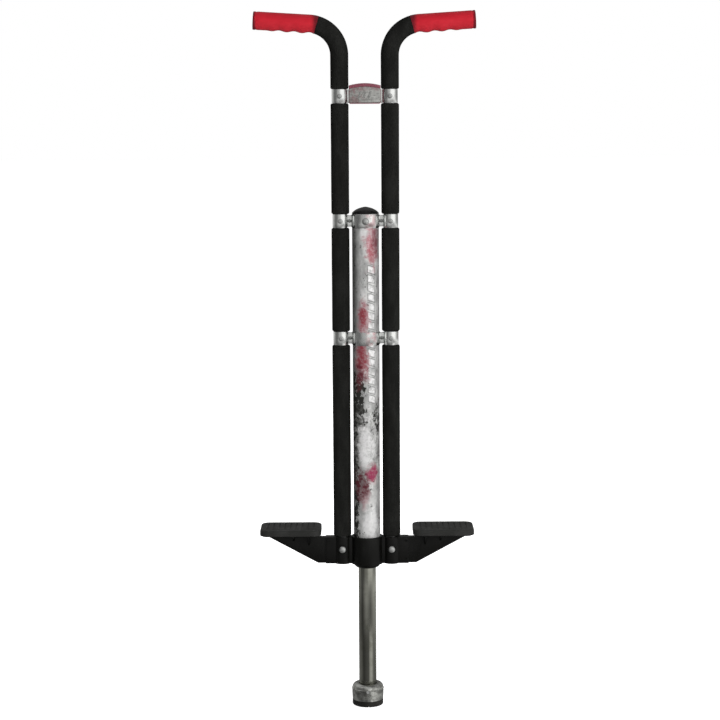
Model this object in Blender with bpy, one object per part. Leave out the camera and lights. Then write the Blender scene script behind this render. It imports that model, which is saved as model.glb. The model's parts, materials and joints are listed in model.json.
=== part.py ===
"""Double-bar spring pogo stick, built as separate solids for Blender 4.5.

Lengths are in metres. +Z is up, +X is the rider's side-to-side axis as seen from the front, and +Y points
to the back. The origin is the middle of the rubber tip's flat sole, on the plunger's axis.

The housing tube, the two handlebar tubes, their clamps and the footrest are one rigid frame. The plunger, the
shaft with its piston, ferrule and rubber tip, slides up into the housing against the main spring, and can turn
in its round guide bush. A thrust washer between piston and spring slides with the plunger but doesn't turn.
"""

import math

import bmesh
import bpy
from mathutils import Matrix, Vector

MM = 0.001

# Gaps
FIT = 0.3 * MM  # between touching pieces
SEAT = 0.1 * MM  # under a bolt or rivet head
MERGE = 1e-6

# Handlebar tubes: each rises from the footrest, then bends outward into a handle that climbs slightly
BAR_X = 35.5 * MM
BAR_R = 9.525 * MM
BAR_WALL = 1.2 * MM
BEND_R = 44 * MM
BEND_START_Z = 938.5 * MM
HANDLE_RISE = math.radians(3.6)
BEND_ANGLE = math.pi / 2 - HANDLE_RISE
GRIP_START_ANGLE = math.radians(73.5)
HANDLE_END_X = 151.5 * MM
BAR_SIDES = 16
BEND_STEPS = 7

# Foam sleeves and grips
SLEEVE_R = 12.8 * MM
SLEEVE_BORE_R = BAR_R + FIT
GRIP_END_WALL = 4.5 * MM

# Clamps: a front and a rear pressed strap, three times up the frame
STRAP_T = 1.2 * MM
STRAP_HEIGHT = 19 * MM
TOP_CLAMP_Z = 881.5 * MM
MIDDLE_CLAMP_Z = 706.2 * MM
LOWER_CLAMP_Z = 539 * MM
STRAP_SEAM = 0.15 * MM  # half of the gap between a front strap and its rear strap
ARC_STEPS = 8

# Spring housing
HOUSING_R = 19.05 * MM
HOUSING_WALL = 1.4 * MM
HOUSING_BOTTOM = 219.6 * MM
HOUSING_TOP = 716.4 * MM
HOUSING_SIDES = 32

# Footrest moulding
HUB_FLOOR = 216 * MM
HUB_TOP = 250.8 * MM
HUB_BOTTOM = 210.4 * MM
COLLAR_R = 23.2 * MM
NOSE_R = 18.8 * MM
NOSE_BOTTOM = 204.8 * MM
SOCKET_R = 13 * MM
WEB_HALF = 9 * MM
PEDAL_INNER_X = 66 * MM
PEDAL_OUTER_X = 154 * MM
PEDAL_HALF_DEPTH = 32 * MM
PEDAL_TOP = 264.5 * MM
PAD_TOP_T = 3 * MM
PAD_SKIRT_T = 1.8 * MM
PAD_SKIRT_BOTTOM = 256.4 * MM
PLATFORM_T = 6 * MM
PEDAL_CORNER_R = 12 * MM
GUSSET_TOE_X = 145.5 * MM
GUSSET_HEEL_X = 70 * MM
HUB_BOLT_Z = 232.8 * MM
HUB_SCREW_Z = 240 * MM

# Plunger
SHAFT_R = 12.7 * MM
SHAFT_WALL = 1.5 * MM
SHAFT_BOTTOM = 16.3 * MM
SHAFT_TOP = 292 * MM
FERRULE_TOP = 32 * MM
FERRULE_BOTTOM = 7.6 * MM
FERRULE_R = 23.3 * MM
FERRULE_PIN_Z = 22.8 * MM
TIP_R = 22.4 * MM
PISTON_R = 17.2 * MM
PISTON_BOTTOM = 262 * MM
PISTON_TOP = 295.3 * MM
PISTON_PIN_Z = 278 * MM
PLUNGER_SIDES = 24

# Main spring, between the thrust washer and the plug that the cross bolt holds
WASHER_T = 2 * MM
SPRING_WIRE_R = 2.5 * MM
SPRING_MEAN_R = 14 * MM
SPRING_BOTTOM = PISTON_TOP + WASHER_T + 2 * FIT
SPRING_TURNS = 23
SPRING_END_PITCH = 2 * SPRING_WIRE_R + FIT
SPRING_STEPS = 8
PLUG_BOTTOM = 694 * MM
PLUG_TOP = 712.5 * MM
DOME_HEIGHT = 9.6 * MM

FINISHES = {
    "chrome": ((0.78, 0.79, 0.80), 0.12, 1.0),
    "zinc": ((0.62, 0.63, 0.64), 0.30, 1.0),
    "spring_steel": ((0.20, 0.20, 0.21), 0.40, 1.0),
    "printed_housing": ((0.66, 0.65, 0.65), 0.22, 0.8),
    "black_foam": ((0.018, 0.018, 0.018), 0.85, 0.0),
    "red_rubber": ((0.62, 0.02, 0.035), 0.55, 0.0),
    "black_plastic": ((0.012, 0.012, 0.012), 0.42, 0.0),
    "black_rubber": ((0.014, 0.014, 0.014), 0.70, 0.0),
    "natural_nylon": ((0.72, 0.70, 0.63), 0.50, 0.0),
    "red_plastic": ((0.42, 0.03, 0.06), 0.35, 0.0),
}


# Building blocks


def clear_scene():
    """Removes the startup objects."""
    for obj in list(bpy.data.objects):
        bpy.data.objects.remove(obj)


def material(finish):
    """The Principled material of a named finish, made once."""
    found = bpy.data.materials.get(finish)
    if found:
        return found
    colour, roughness, metallic = FINISHES[finish]
    made = bpy.data.materials.new(finish)
    made.use_nodes = True
    shader = made.node_tree.nodes["Principled BSDF"]
    shader.inputs["Base Color"].default_value = (*colour, 1)
    shader.inputs["Roughness"].default_value = roughness
    shader.inputs["Metallic"].default_value = metallic
    return made


def piece(name, bm, finish):
    """Turns a bmesh into a named, smooth-shaded object with its finish."""
    bmesh.ops.remove_doubles(bm, verts=bm.verts, dist=MERGE)
    bmesh.ops.recalc_face_normals(bm, faces=bm.faces)
    mesh = bpy.data.meshes.new(name)
    bm.to_mesh(mesh)
    bm.free()
    mesh.shade_smooth()
    mesh.set_sharp_from_angle(angle=math.radians(35))
    mesh.materials.append(material(finish))
    obj = bpy.data.objects.new(name, mesh)
    bpy.context.scene.collection.objects.link(obj)
    return obj


def helper(name, bm):
    """An object that only cuts or joins: it isn't a piece of the pogo stick."""
    obj = piece(name, bm, "zinc")
    obj.hide_render = True
    obj.display_type = "WIRE"
    return obj


def combine(obj, operation, *others):
    """Adds one exact Boolean to obj for each helper."""
    for other in others:
        modifier = obj.modifiers.new(other.name, "BOOLEAN")
        modifier.operation = operation
        modifier.object = other
    return obj


def turned(profile, sides, ring=True):
    """A solid turned about Z from (radius, height) points. A ring's profile closes on itself, and any other
    profile starts and ends on the axis."""
    bm = bmesh.new()
    verts = [bm.verts.new((r, 0, z)) for r, z in profile]
    edges = [bm.edges.new(pair) for pair in zip(verts, verts[1:])]
    if ring:
        edges.append(bm.edges.new((verts[-1], verts[0])))
    bmesh.ops.spin(
        bm, geom=verts + edges, cent=(0, 0, 0), axis=(0, 0, 1), angle=2 * math.pi, steps=sides, use_merge=True
    )
    return bm


def tube(outer, inner, low, high, sides, chamfer=0.0):
    """A straight tube about Z, with its outer end corners chamfered."""
    profile = [(inner, low), (outer - chamfer, low)]
    if chamfer:
        profile += [(outer, low + chamfer), (outer, high - chamfer)]
        profile += [(outer - chamfer, high), (inner, high)]
    else:
        profile += [(outer, high), (inner, high)]
    return turned(profile, sides)


def rod(radius, low, high, sides):
    """A solid cylinder about Z."""
    return turned([(0, low), (radius, low), (radius, high), (0, high)], sides, ring=False)


def drill(radius, low, high, sides=12):
    """A cylinder that cuts a hole, turned a little so that its edges miss those of what it cuts."""
    bm = rod(radius, low, high, sides)
    bmesh.ops.rotate(bm, verts=bm.verts, cent=(0, 0, 0), matrix=Matrix.Rotation(math.radians(7), 3, "Z"))
    return bm


def moved(bm, offset):
    bmesh.ops.translate(bm, verts=bm.verts, vec=offset)
    return bm


def laid_along_y(bm, offset, flip=False):
    """Turns a Z-built shape so that its +Z points to the back (+Y), or to the front if flipped."""
    turn = Matrix.Rotation(math.radians(90 if flip else -90), 3, "X")
    bmesh.ops.rotate(bm, verts=bm.verts, cent=(0, 0, 0), matrix=turn)
    return moved(bm, offset)


def laid_along_x(bm, offset):
    """Turns a Z-built shape so that its +Z points along +X."""
    bmesh.ops.rotate(bm, verts=bm.verts, cent=(0, 0, 0), matrix=Matrix.Rotation(math.pi / 2, 3, "Y"))
    return moved(bm, offset)


def prism(outline, plane, low, high):
    """Extrudes a 2D outline: plane XY goes from low to high along Z, and plane XZ along Y."""
    bm = bmesh.new()
    if plane == "XY":
        verts = [bm.verts.new((a, b, low)) for a, b in outline]
        step = Vector((0, 0, high - low))
    else:
        verts = [bm.verts.new((a, low, b)) for a, b in outline]
        step = Vector((0, high - low, 0))
    face = bm.faces.new(verts)
    grown = bmesh.ops.extrude_face_region(bm, geom=[face])["geom"]
    top = [v for v in grown if isinstance(v, bmesh.types.BMVert)]
    bmesh.ops.translate(bm, verts=top, vec=step)
    return bm


def arc(centre, radius, start, end, steps):
    """Points on an arc between two angles in degrees, both ends included."""
    angles = [math.radians(start + (end - start) * i / steps) for i in range(steps + 1)]
    return [(centre[0] + radius * math.cos(a), centre[1] + radius * math.sin(a)) for a in angles]


def rounded_rectangle(x0, x1, y0, y1, radius, steps=3):
    """Corner arcs, counter-clockwise from the lower left corner."""
    points = arc((x0 + radius, y0 + radius), radius, 180, 270, steps)
    points += arc((x1 - radius, y0 + radius), radius, 270, 360, steps)
    points += arc((x1 - radius, y1 - radius), radius, 0, 90, steps)
    points += arc((x0 + radius, y1 - radius), radius, 90, 180, steps)
    return points


# Handlebar tubes, grips and foam


def handle_direction(side):
    return Vector((side * math.cos(HANDLE_RISE), 0, math.sin(HANDLE_RISE)))


def bend_point(side, angle):
    """The bar's centre line after this much of the bend."""
    x = BAR_X + BEND_R * (1 - math.cos(angle))
    return Vector((side * x, 0, BEND_START_Z + BEND_R * math.sin(angle)))


def handle_length(to_x):
    """Straight run of the handle from the end of the bend to a distance out along X."""
    return (to_x - bend_point(1, BEND_ANGLE).x) / math.cos(HANDLE_RISE)


def section(bm, side, angle, outer, inner=0.0):
    """A disc across the bar at an angle of its bend, or a flat ring if inner is given. Returns its faces."""
    if inner:
        rims = [bmesh.ops.create_circle(bm, segments=BAR_SIDES, radius=r)["verts"] for r in (outer, inner)]
        following = [rim[1:] + rim[:1] for rim in rims]
        faces = [bm.faces.new(corners) for corners in zip(rims[0], following[0], following[1], rims[1])]
        verts = rims[0] + rims[1]
    else:
        verts = bmesh.ops.create_circle(bm, segments=BAR_SIDES, radius=outer, cap_ends=True)["verts"]
        faces = list({face for vert in verts for face in vert.link_faces})
    turn = Matrix.Rotation(side * angle, 3, "Y")
    bmesh.ops.rotate(bm, verts=verts, cent=(0, 0, 0), matrix=turn)
    bmesh.ops.translate(bm, verts=verts, vec=bend_point(side, angle))
    return faces


def only(kind, geometry):
    return [item for item in geometry if isinstance(item, kind)]


def with_edges(faces):
    return faces + list({edge for face in faces for edge in face.edges})


def push(bm, faces, step):
    """Extrudes faces along a straight step and returns the new end faces."""
    grown = bmesh.ops.extrude_face_region(bm, geom=with_edges(faces))["geom"]
    bmesh.ops.translate(bm, verts=only(bmesh.types.BMVert, grown), vec=step)
    return only(bmesh.types.BMFace, grown)


def bend(bm, faces, side, angle, steps):
    """Spins faces round the handlebar's bend and returns the new end faces."""
    centre = (side * (BAR_X + BEND_R), 0, BEND_START_Z)
    grown = bmesh.ops.spin(
        bm, geom=with_edges(faces), cent=centre, axis=(0, 1, 0), angle=side * angle, steps=steps, use_merge=False
    )
    return only(bmesh.types.BMFace, grown["geom_last"])


def shrink_end(bm, faces, share):
    """Scales end faces about their middle."""
    verts = list({vert for face in faces for vert in face.verts})
    middle = sum((vert.co for vert in verts), Vector()) / len(verts)
    bmesh.ops.scale(bm, verts=verts, vec=(share, share, share), space=Matrix.Translation(-middle))


def foot_section(bm, side, low, outer, inner):
    """A ring across the bar's vertical run at a height."""
    faces = section(bm, side, 0, outer, inner)
    verts = list({vert for face in faces for vert in face.verts})
    bmesh.ops.translate(bm, verts=verts, vec=(0, 0, low - BEND_START_Z))
    return faces


def handlebar_tube(name, side):
    """Steel tube with the holes that its clamp rivets and its footrest bolt pass through."""
    bm = bmesh.new()
    low = HUB_FLOOR + FIT
    faces = foot_section(bm, side, low, BAR_R, BAR_R - BAR_WALL)
    faces = push(bm, faces, (0, 0, BEND_START_Z - low))
    faces = bend(bm, faces, side, BEND_ANGLE, BEND_STEPS)
    push(bm, faces, handle_direction(side) * handle_length(HANDLE_END_X))
    obj = piece(name, bm, "chrome")
    for label, z, radius in (
        ("top_rivets", TOP_CLAMP_Z, RIVET_HOLE_R),
        ("middle_rivets", MIDDLE_CLAMP_Z, RIVET_HOLE_R),
        ("lower_rivets", LOWER_CLAMP_Z, RIVET_HOLE_R),
        ("foot_bolt", HUB_BOLT_Z, M6_HOLE_R),
    ):
        hole = laid_along_y(drill(radius, -2 * BAR_R, 2 * BAR_R, 8), (side * BAR_X, 0, z))
        combine(obj, "DIFFERENCE", helper(f"hole_{name}_{label}", hole))
    return obj


def foam_over_bend(name, side):
    """Foam sleeve from the top clamp up to the grip, round the bend."""
    bm = bmesh.new()
    low = TOP_CLAMP_Z + STRAP_HEIGHT / 2 + FIT
    faces = foot_section(bm, side, low, SLEEVE_R, SLEEVE_BORE_R)
    faces = push(bm, faces, (0, 0, BEND_START_Z - low))
    bend(bm, faces, side, GRIP_START_ANGLE - 2 * FIT / BEND_R, BEND_STEPS - 1)
    return piece(name, bm, "black_foam")


def foam_sleeve(name, side, low, high):
    bm = tube(SLEEVE_R, SLEEVE_BORE_R, low + FIT, high - FIT, BAR_SIDES, chamfer=1.2 * MM)
    return piece(name, moved(bm, (side * BAR_X, 0, 0)), "black_foam")


def hand_grip(name, side):
    """Grip pushed over the end of the handle, closed at its outer end."""
    remaining = BEND_ANGLE - GRIP_START_ANGLE
    direction = handle_direction(side)
    length = handle_length(HANDLE_END_X)
    rounding = 2 * MM
    bm = bmesh.new()
    faces = section(bm, side, GRIP_START_ANGLE, SLEEVE_R)
    faces = bend(bm, faces, side, remaining, 2)
    faces = push(bm, faces, direction * (length + GRIP_END_WALL - rounding))
    faces = push(bm, faces, direction * rounding)
    shrink_end(bm, faces, 1 - rounding / SLEEVE_R)
    obj = piece(name, bm, "red_rubber")
    early = math.radians(2)
    bore = bmesh.new()
    faces = section(bore, side, GRIP_START_ANGLE - early, SLEEVE_BORE_R)
    faces = bend(bore, faces, side, remaining + early, 3)
    push(bore, faces, direction * (length + FIT))
    return combine(obj, "DIFFERENCE", helper(f"bore_{name}", bore))


# Clamps

RIVET_R = 1.95 * MM
RIVET_HOLE_R = 2.35 * MM
RIVET_HEAD_R = 3.4 * MM
M6_R = 3 * MM
M6_HOLE_R = 3.5 * MM
M6_HEAD_R = 5 * MM
M6_NUT_R = 5.6 * MM
PEG_X = 14 * MM
PEG_R = 1.5 * MM
SADDLE_IN = BAR_R + FIT
SADDLE_OUT = SADDLE_IN + STRAP_T
BELLY_IN = HOUSING_R + FIT
BELLY_OUT = BELLY_IN + STRAP_T


def strap_edge(seam, saddle_r, belly_r):
    """One edge of a front strap from left to right: round a bar, round the housing if there is a belly, and
    round the other bar. Between them it runs straight, seam short of the middle plane."""
    dip = math.degrees(math.asin(seam / saddle_r))
    points = arc((-BAR_X, 0), saddle_r, 180 + dip, 360 - dip, ARC_STEPS)
    if belly_r:
        belly_dip = math.degrees(math.asin(seam / belly_r))
        points += arc((0, 0), belly_r, 180 + belly_dip, 360 - belly_dip, 2 * ARC_STEPS)
    points += arc((BAR_X, 0), saddle_r, 180 + dip, 360 - dip, ARC_STEPS)
    return points


def strap_outline(belly):
    outer = strap_edge(STRAP_SEAM + STRAP_T, SADDLE_OUT, BELLY_OUT if belly else 0)
    inner = strap_edge(STRAP_SEAM, SADDLE_IN, BELLY_IN if belly else 0)
    ends = [(-BAR_X - SADDLE_OUT, -STRAP_SEAM), (BAR_X + SADDLE_OUT, -STRAP_SEAM)]
    return [ends[0], *outer, ends[1], *reversed(inner)]


def clamp_strap(name, z, belly, rear):
    """A pressed strap, with rivet holes at the bars and a hole for the cross bolt or the badge's pegs."""
    outline = strap_outline(belly)
    if rear:
        outline = [(x, -y) for x, y in outline]
    bm = prism(outline, "XY", z - STRAP_HEIGHT / 2, z + STRAP_HEIGHT / 2)
    obj = piece(name, bm, "chrome")
    side = 1 if rear else -1
    reach = 2 * BELLY_OUT * side
    holes = [(x, RIVET_HOLE_R) for x in (-BAR_X, BAR_X)]
    if z == MIDDLE_CLAMP_Z:
        holes.append((0, M6_HOLE_R))
    if not belly:
        holes += [(x, PEG_R + FIT) for x in (-PEG_X, PEG_X)]
    for count, (x, radius) in enumerate(holes):
        low, high = sorted((-STRAP_SEAM * side, reach))
        hole = laid_along_y(drill(radius, low, high, 8), (x, 0, z))
        combine(obj, "DIFFERENCE", helper(f"hole_{name}_{count}", hole))
    return obj


def clamp_rivet(name, x, z, rear):
    """Blind rivet through a strap and one wall of its bar, its tail spread inside the tube."""
    head_low = SADDLE_OUT + SEAT
    tail_high = BAR_R - BAR_WALL - 0.8 * MM
    tail_low = tail_high - 1.4 * MM
    profile = [
        (0, tail_low),
        (RIVET_R + 0.7 * MM, tail_low),
        (RIVET_R + 0.7 * MM, tail_high),
        (RIVET_R, tail_high),
        (RIVET_R, head_low),
        (RIVET_HEAD_R, head_low),
        (RIVET_HEAD_R * 0.7, head_low + 1.3 * MM),
        (0, head_low + 1.3 * MM),
    ]
    bm = laid_along_y(turned(profile, 8, ring=False), (x, 0, z), flip=not rear)
    return piece(name, bm, "zinc")


def badge():
    """Moulded badge with an arched top, pegged through the top clamp, and its metal face plate."""
    half, low, high, rise = 22.4 * MM, 870.8 * MM, 896.4 * MM, 3.2 * MM
    back = -(STRAP_SEAM + STRAP_T + SEAT)
    front = back - 3.2 * MM
    corner = 3 * MM
    outline = arc((-half + corner, low + corner), corner, 180, 270, 3)
    outline += arc((half - corner, low + corner), corner, 270, 360, 3)
    crown_r = (half**2 + rise**2) / (2 * rise)
    spread = math.degrees(math.asin(half / crown_r))
    outline += arc((0, high + rise - crown_r), crown_r, 90 - spread, 90 + spread, 10)
    body = piece("badge_body", prism(outline, "XZ", front, back), "red_plastic")
    inset = 2.2 * MM
    window = [
        (x * (half - inset) / half, (z - low) * (high + rise - low - 2 * inset) / (high + rise - low) + low + inset)
        for x, z in outline
    ]
    combine(body, "DIFFERENCE", helper("badge_recess", prism(window, "XZ", front - MM, front + 1.2 * MM)))
    for side in (-1, 1):
        peg = laid_along_y(rod(PEG_R, back - 0.5 * MM, -back + MM, 10), (side * PEG_X, 0, TOP_CLAMP_Z))
        combine(body, "UNION", helper(f"badge_peg_{side}", peg))
    shrink = (half - inset - FIT) / (half - inset)
    middle = (high + rise + low) / 2
    plate = [(x * shrink, middle + (z - middle) * shrink) for x, z in window]
    piece("badge_face", prism(plate, "XZ", front - 0.1 * MM, front + 1.2 * MM - FIT), "zinc")
    return body


# Spring housing and what closes its top


def housing():
    bm = tube(HOUSING_R, HOUSING_R - HOUSING_WALL, HOUSING_BOTTOM, HOUSING_TOP, HOUSING_SIDES)
    obj = piece("housing_tube", bm, "printed_housing")
    bolt_hole = laid_along_y(drill(M6_HOLE_R, -2 * HOUSING_R, 2 * HOUSING_R), (0, 0, MIDDLE_CLAMP_Z))
    screw_hole = laid_along_y(drill(2.2 * MM, 0, 2 * HOUSING_R, 10), (0, 0, HUB_SCREW_Z))
    return combine(
        obj, "DIFFERENCE", helper("hole_housing_bolt", bolt_hole), helper("hole_housing_screw", screw_hole)
    )


def dome_cap():
    """Plastic cap with a short spigot inside the housing."""
    bore = HOUSING_R - HOUSING_WALL - FIT
    base = HOUSING_TOP + FIT
    profile = [(0, PLUG_TOP + FIT), (bore, PLUG_TOP + FIT), (bore, base), (HOUSING_R, base)]
    profile += [
        (HOUSING_R * share, base + DOME_HEIGHT * rise)
        for share, rise in ((0.99, 0.10), (0.90, 0.32), (0.72, 0.60), (0.48, 0.83), (0.24, 0.96), (0, 1))
    ]
    return piece("dome_cap", turned(profile, 24, ring=False), "black_plastic")


def spring_plug():
    """Plug that the cross bolt holds in the housing. The spring pushes up on it, round its nose."""
    outer = HOUSING_R - HOUSING_WALL - FIT
    nose_r = SPRING_MEAN_R - SPRING_WIRE_R - 0.8 * MM
    nose_bottom = PLUG_BOTTOM - 12 * MM
    profile = [
        (0, nose_bottom),
        (nose_r - MM, nose_bottom),
        (nose_r, nose_bottom + 2 * MM),
        (nose_r, PLUG_BOTTOM),
        (outer, PLUG_BOTTOM),
        (outer, PLUG_TOP),
        (0, PLUG_TOP),
    ]
    obj = piece("spring_plug", turned(profile, 24, ring=False), "natural_nylon")
    hole = laid_along_y(drill(M6_HOLE_R, -HOUSING_R, HOUSING_R), (0, 0, MIDDLE_CLAMP_Z))
    return combine(obj, "DIFFERENCE", helper("hole_plug", hole))


def cap_bolt(name, x, z, seat, tip):
    """M6 bolt whose domed head sits at -seat in front and whose end reaches back to tip."""
    head = [(M6_HEAD_R, seat), (M6_HEAD_R * 0.92, seat + 1.4 * MM), (M6_HEAD_R * 0.6, seat + 2.6 * MM)]
    profile = [(0, -tip), (M6_R, -tip), (M6_R, seat), *head, (0, seat + 3.1 * MM)]
    return piece(name, laid_along_y(turned(profile, 12, ring=False), (x, 0, z), flip=True), "zinc")


def hex_nut(name, x, z, seat, height=5 * MM):
    obj = piece(name, laid_along_y(rod(M6_NUT_R, seat, seat + height, 6), (x, 0, z)), "zinc")
    thread = drill(M6_R + 0.2 * MM, seat - MM, seat + height + MM)
    return combine(obj, "DIFFERENCE", helper(f"thread_{name}", laid_along_y(thread, (x, 0, z))))


def main_spring():
    """Compression spring with a closed turn at each end, swept as a wire along its helix."""
    low = SPRING_BOTTOM + SPRING_WIRE_R
    high = PLUG_BOTTOM - FIT - SPRING_WIRE_R
    open_pitch = (high - low - 2 * SPRING_END_PITCH) / (SPRING_TURNS - 2)
    curve = bpy.data.curves.new("main_spring", "CURVE")
    curve.dimensions = "3D"
    curve.bevel_depth = SPRING_WIRE_R
    curve.bevel_resolution = 1
    curve.use_fill_caps = True
    count = SPRING_TURNS * SPRING_STEPS + 1
    spline = curve.splines.new("POLY")
    spline.points.add(count - 1)
    for i, point in enumerate(spline.points):
        turns = i / SPRING_STEPS
        closed = min(turns, 1) + max(turns - (SPRING_TURNS - 1), 0)
        z = low + closed * SPRING_END_PITCH + (turns - closed) * open_pitch
        angle = 2 * math.pi * turns
        point.co = (SPRING_MEAN_R * math.cos(angle), SPRING_MEAN_R * math.sin(angle), z, 1)
    curve.materials.append(material("spring_steel"))
    obj = bpy.data.objects.new("main_spring", curve)
    bpy.context.scene.collection.objects.link(obj)
    return obj


# Footrest


def side_web(side):
    """Upright web of one arm, from the collar out to the toe under the pedal."""
    inner, low, high = 20 * MM, HUB_BOTTOM + 0.7 * MM, HUB_TOP - 0.7 * MM
    under = PAD_SKIRT_BOTTOM + MM
    outline = [
        (inner, low),
        (GUSSET_HEEL_X, low),
        (GUSSET_TOE_X, PAD_SKIRT_BOTTOM - 4.8 * MM),
        (GUSSET_TOE_X, under),
        (PEDAL_INNER_X + 3 * MM, under),
        (PEDAL_INNER_X + 3 * MM, high),
        (inner, high),
    ]
    return prism([(side * x, z) for x, z in outline], "XZ", -WEB_HALF, WEB_HALF)


def cross_rib(side, x):
    """Rib across the underside of a pedal, tapering from the web to the pedal's edges."""
    reach = PEDAL_HALF_DEPTH - PAD_SKIRT_T - 3 * MM
    depth = (GUSSET_TOE_X - x) * 0.4
    top = PAD_SKIRT_BOTTOM + MM
    outline = [(-reach, top), (-reach, top - 2.2 * MM), (0, top - depth), (reach, top - 2.2 * MM), (reach, top)]
    bm = bmesh.new()
    verts = [bm.verts.new((side * x - 1.5 * MM, y, z)) for y, z in outline]
    grown = bmesh.ops.extrude_face_region(bm, geom=[bm.faces.new(verts)])["geom"]
    bmesh.ops.translate(bm, verts=[g for g in grown if isinstance(g, bmesh.types.BMVert)], vec=(3 * MM, 0, 0))
    return bm


def pedal_outline(side, inset):
    radius = PEDAL_CORNER_R - inset
    x0, x1 = sorted((side * (PEDAL_INNER_X + inset), side * (PEDAL_OUTER_X - inset)))
    return rounded_rectangle(x0, x1, -PEDAL_HALF_DEPTH + inset, PEDAL_HALF_DEPTH - inset, radius)


def footrest():
    """One moulding: a collar for the housing, a socket for each bar, and an arm with a platform on each side."""
    collar = [(0, NOSE_BOTTOM), (NOSE_R - 5 * MM, NOSE_BOTTOM), (NOSE_R - 1.5 * MM, NOSE_BOTTOM + 2 * MM)]
    collar += [(NOSE_R, NOSE_BOTTOM + 5.5 * MM), (NOSE_R, HUB_BOTTOM), (COLLAR_R, HUB_BOTTOM)]
    collar += [(COLLAR_R, HUB_TOP), (0, HUB_TOP)]
    obj = piece("footrest_hub", turned(collar, 28, ring=False), "black_plastic")
    joins = []
    for side, label in ((-1, "left"), (1, "right")):
        socket = rod(SOCKET_R, HUB_BOTTOM + 0.3 * MM, HUB_TOP - 0.3 * MM, 20)
        joins.append(helper(f"socket_{label}", moved(socket, (side * BAR_X, 0, 0))))
        boss = rod(6.5 * MM, -SOCKET_R - MM, SOCKET_R + MM, 14)
        joins.append(helper(f"bolt_boss_{label}", laid_along_y(boss, (side * BAR_X, 0, HUB_BOLT_Z))))
        joins.append(helper(f"web_{label}", side_web(side)))
        inset = PAD_SKIRT_T + FIT
        top = PEDAL_TOP - PAD_TOP_T - FIT
        platform = prism(pedal_outline(side, inset), "XY", top - PLATFORM_T, top)
        joins.append(helper(f"platform_{label}", platform))
        for number, x in enumerate((84 * MM, 106 * MM)):
            joins.append(helper(f"rib_{label}_{number}", cross_rib(side, x)))
    combine(obj, "UNION", *joins)
    cuts = [helper("bore_housing", rod(HOUSING_R + FIT, HUB_FLOOR, HUB_TOP + MM, HOUSING_SIDES))]
    cuts.append(helper("bore_shaft", rod(SHAFT_R + 0.8 * MM, NOSE_BOTTOM - MM, HUB_FLOOR + MM, PLUNGER_SIDES)))
    for side, label in ((-1, "left"), (1, "right")):
        bore = rod(BAR_R + FIT, HUB_FLOOR, HUB_TOP + MM, BAR_SIDES)
        cuts.append(helper(f"bore_bar_{label}", moved(bore, (side * BAR_X, 0, 0))))
        hole = drill(M6_HOLE_R, -2 * SOCKET_R, 2 * SOCKET_R)
        cuts.append(helper(f"bore_bolt_{label}", laid_along_y(hole, (side * BAR_X, 0, HUB_BOLT_Z))))
    screw_hole = laid_along_y(drill(2.2 * MM, 0, 2 * COLLAR_R, 10), (0, 0, HUB_SCREW_Z))
    cuts.append(helper("bore_screw", screw_hole))
    return combine(obj, "DIFFERENCE", *cuts)


def tread_pad(name, side):
    """Rubber cover with a skirt, pushed over the platform."""
    bm = prism(pedal_outline(side, 0), "XY", PAD_SKIRT_BOTTOM, PEDAL_TOP)
    rim = [e for e in bm.edges if all(v.co.z > PEDAL_TOP - MERGE for v in e.verts)]
    bmesh.ops.bevel(bm, geom=rim, offset=1.5 * MM, offset_type="OFFSET", segments=1, profile=0.5, affect="EDGES", material=-1)
    obj = piece(name, bm, "black_rubber")
    hollow = prism(pedal_outline(side, PAD_SKIRT_T), "XY", PAD_SKIRT_BOTTOM - MM, PEDAL_TOP - PAD_TOP_T)
    return combine(obj, "DIFFERENCE", helper(f"hollow_{name}", hollow))


def hub_screw():
    """Screw through the collar's back into the housing, which keeps the footrest on."""
    seat = COLLAR_R + SEAT
    tip = HOUSING_R - HOUSING_WALL + SEAT
    profile = [(0, tip), (1.9 * MM, tip), (1.9 * MM, seat), (3.6 * MM, seat), (3.2 * MM, seat + 1.6 * MM)]
    profile += [(0, seat + 2.2 * MM)]
    return piece("housing_screw", laid_along_y(turned(profile, 12, ring=False), (0, 0, HUB_SCREW_Z)), "zinc")


# Guide and plunger


def guide_bush():
    """Bush whose flange is held between the footrest's floor and the housing's lower end."""
    bore = SHAFT_R + 0.4 * MM
    flange_top = HOUSING_BOTTOM - FIT
    profile = [
        (bore, HUB_FLOOR + FIT),
        (HOUSING_R - FIT, HUB_FLOOR + FIT),
        (HOUSING_R - FIT, flange_top),
        (HOUSING_R - HOUSING_WALL - FIT, flange_top),
        (HOUSING_R - HOUSING_WALL - FIT, 248 * MM),
        (bore, 248 * MM),
    ]
    return piece("guide_bush", turned(profile, PLUNGER_SIDES), "natural_nylon")


def rebound_bumper():
    bm = tube(16.6 * MM, SHAFT_R + 0.8 * MM, 248.4 * MM, PISTON_BOTTOM - FIT, 24, chamfer=1.5 * MM)
    return piece("rebound_bumper", bm, "black_rubber")


def plunger_shaft():
    bm = tube(SHAFT_R, SHAFT_R - SHAFT_WALL, SHAFT_BOTTOM, SHAFT_TOP, PLUNGER_SIDES)
    obj = piece("plunger_shaft", bm, "chrome")
    upper = laid_along_x(drill(PIN_HOLE_R, -2 * SHAFT_R, 2 * SHAFT_R), (0, 0, PISTON_PIN_Z))
    lower = laid_along_y(drill(PIN_HOLE_R, -2 * SHAFT_R, 2 * SHAFT_R), (0, 0, FERRULE_PIN_Z))
    return combine(obj, "DIFFERENCE", helper("hole_shaft_top", upper), helper("hole_shaft_foot", lower))


PIN_R = 2.5 * MM
PIN_HOLE_R = 2.8 * MM


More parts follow.
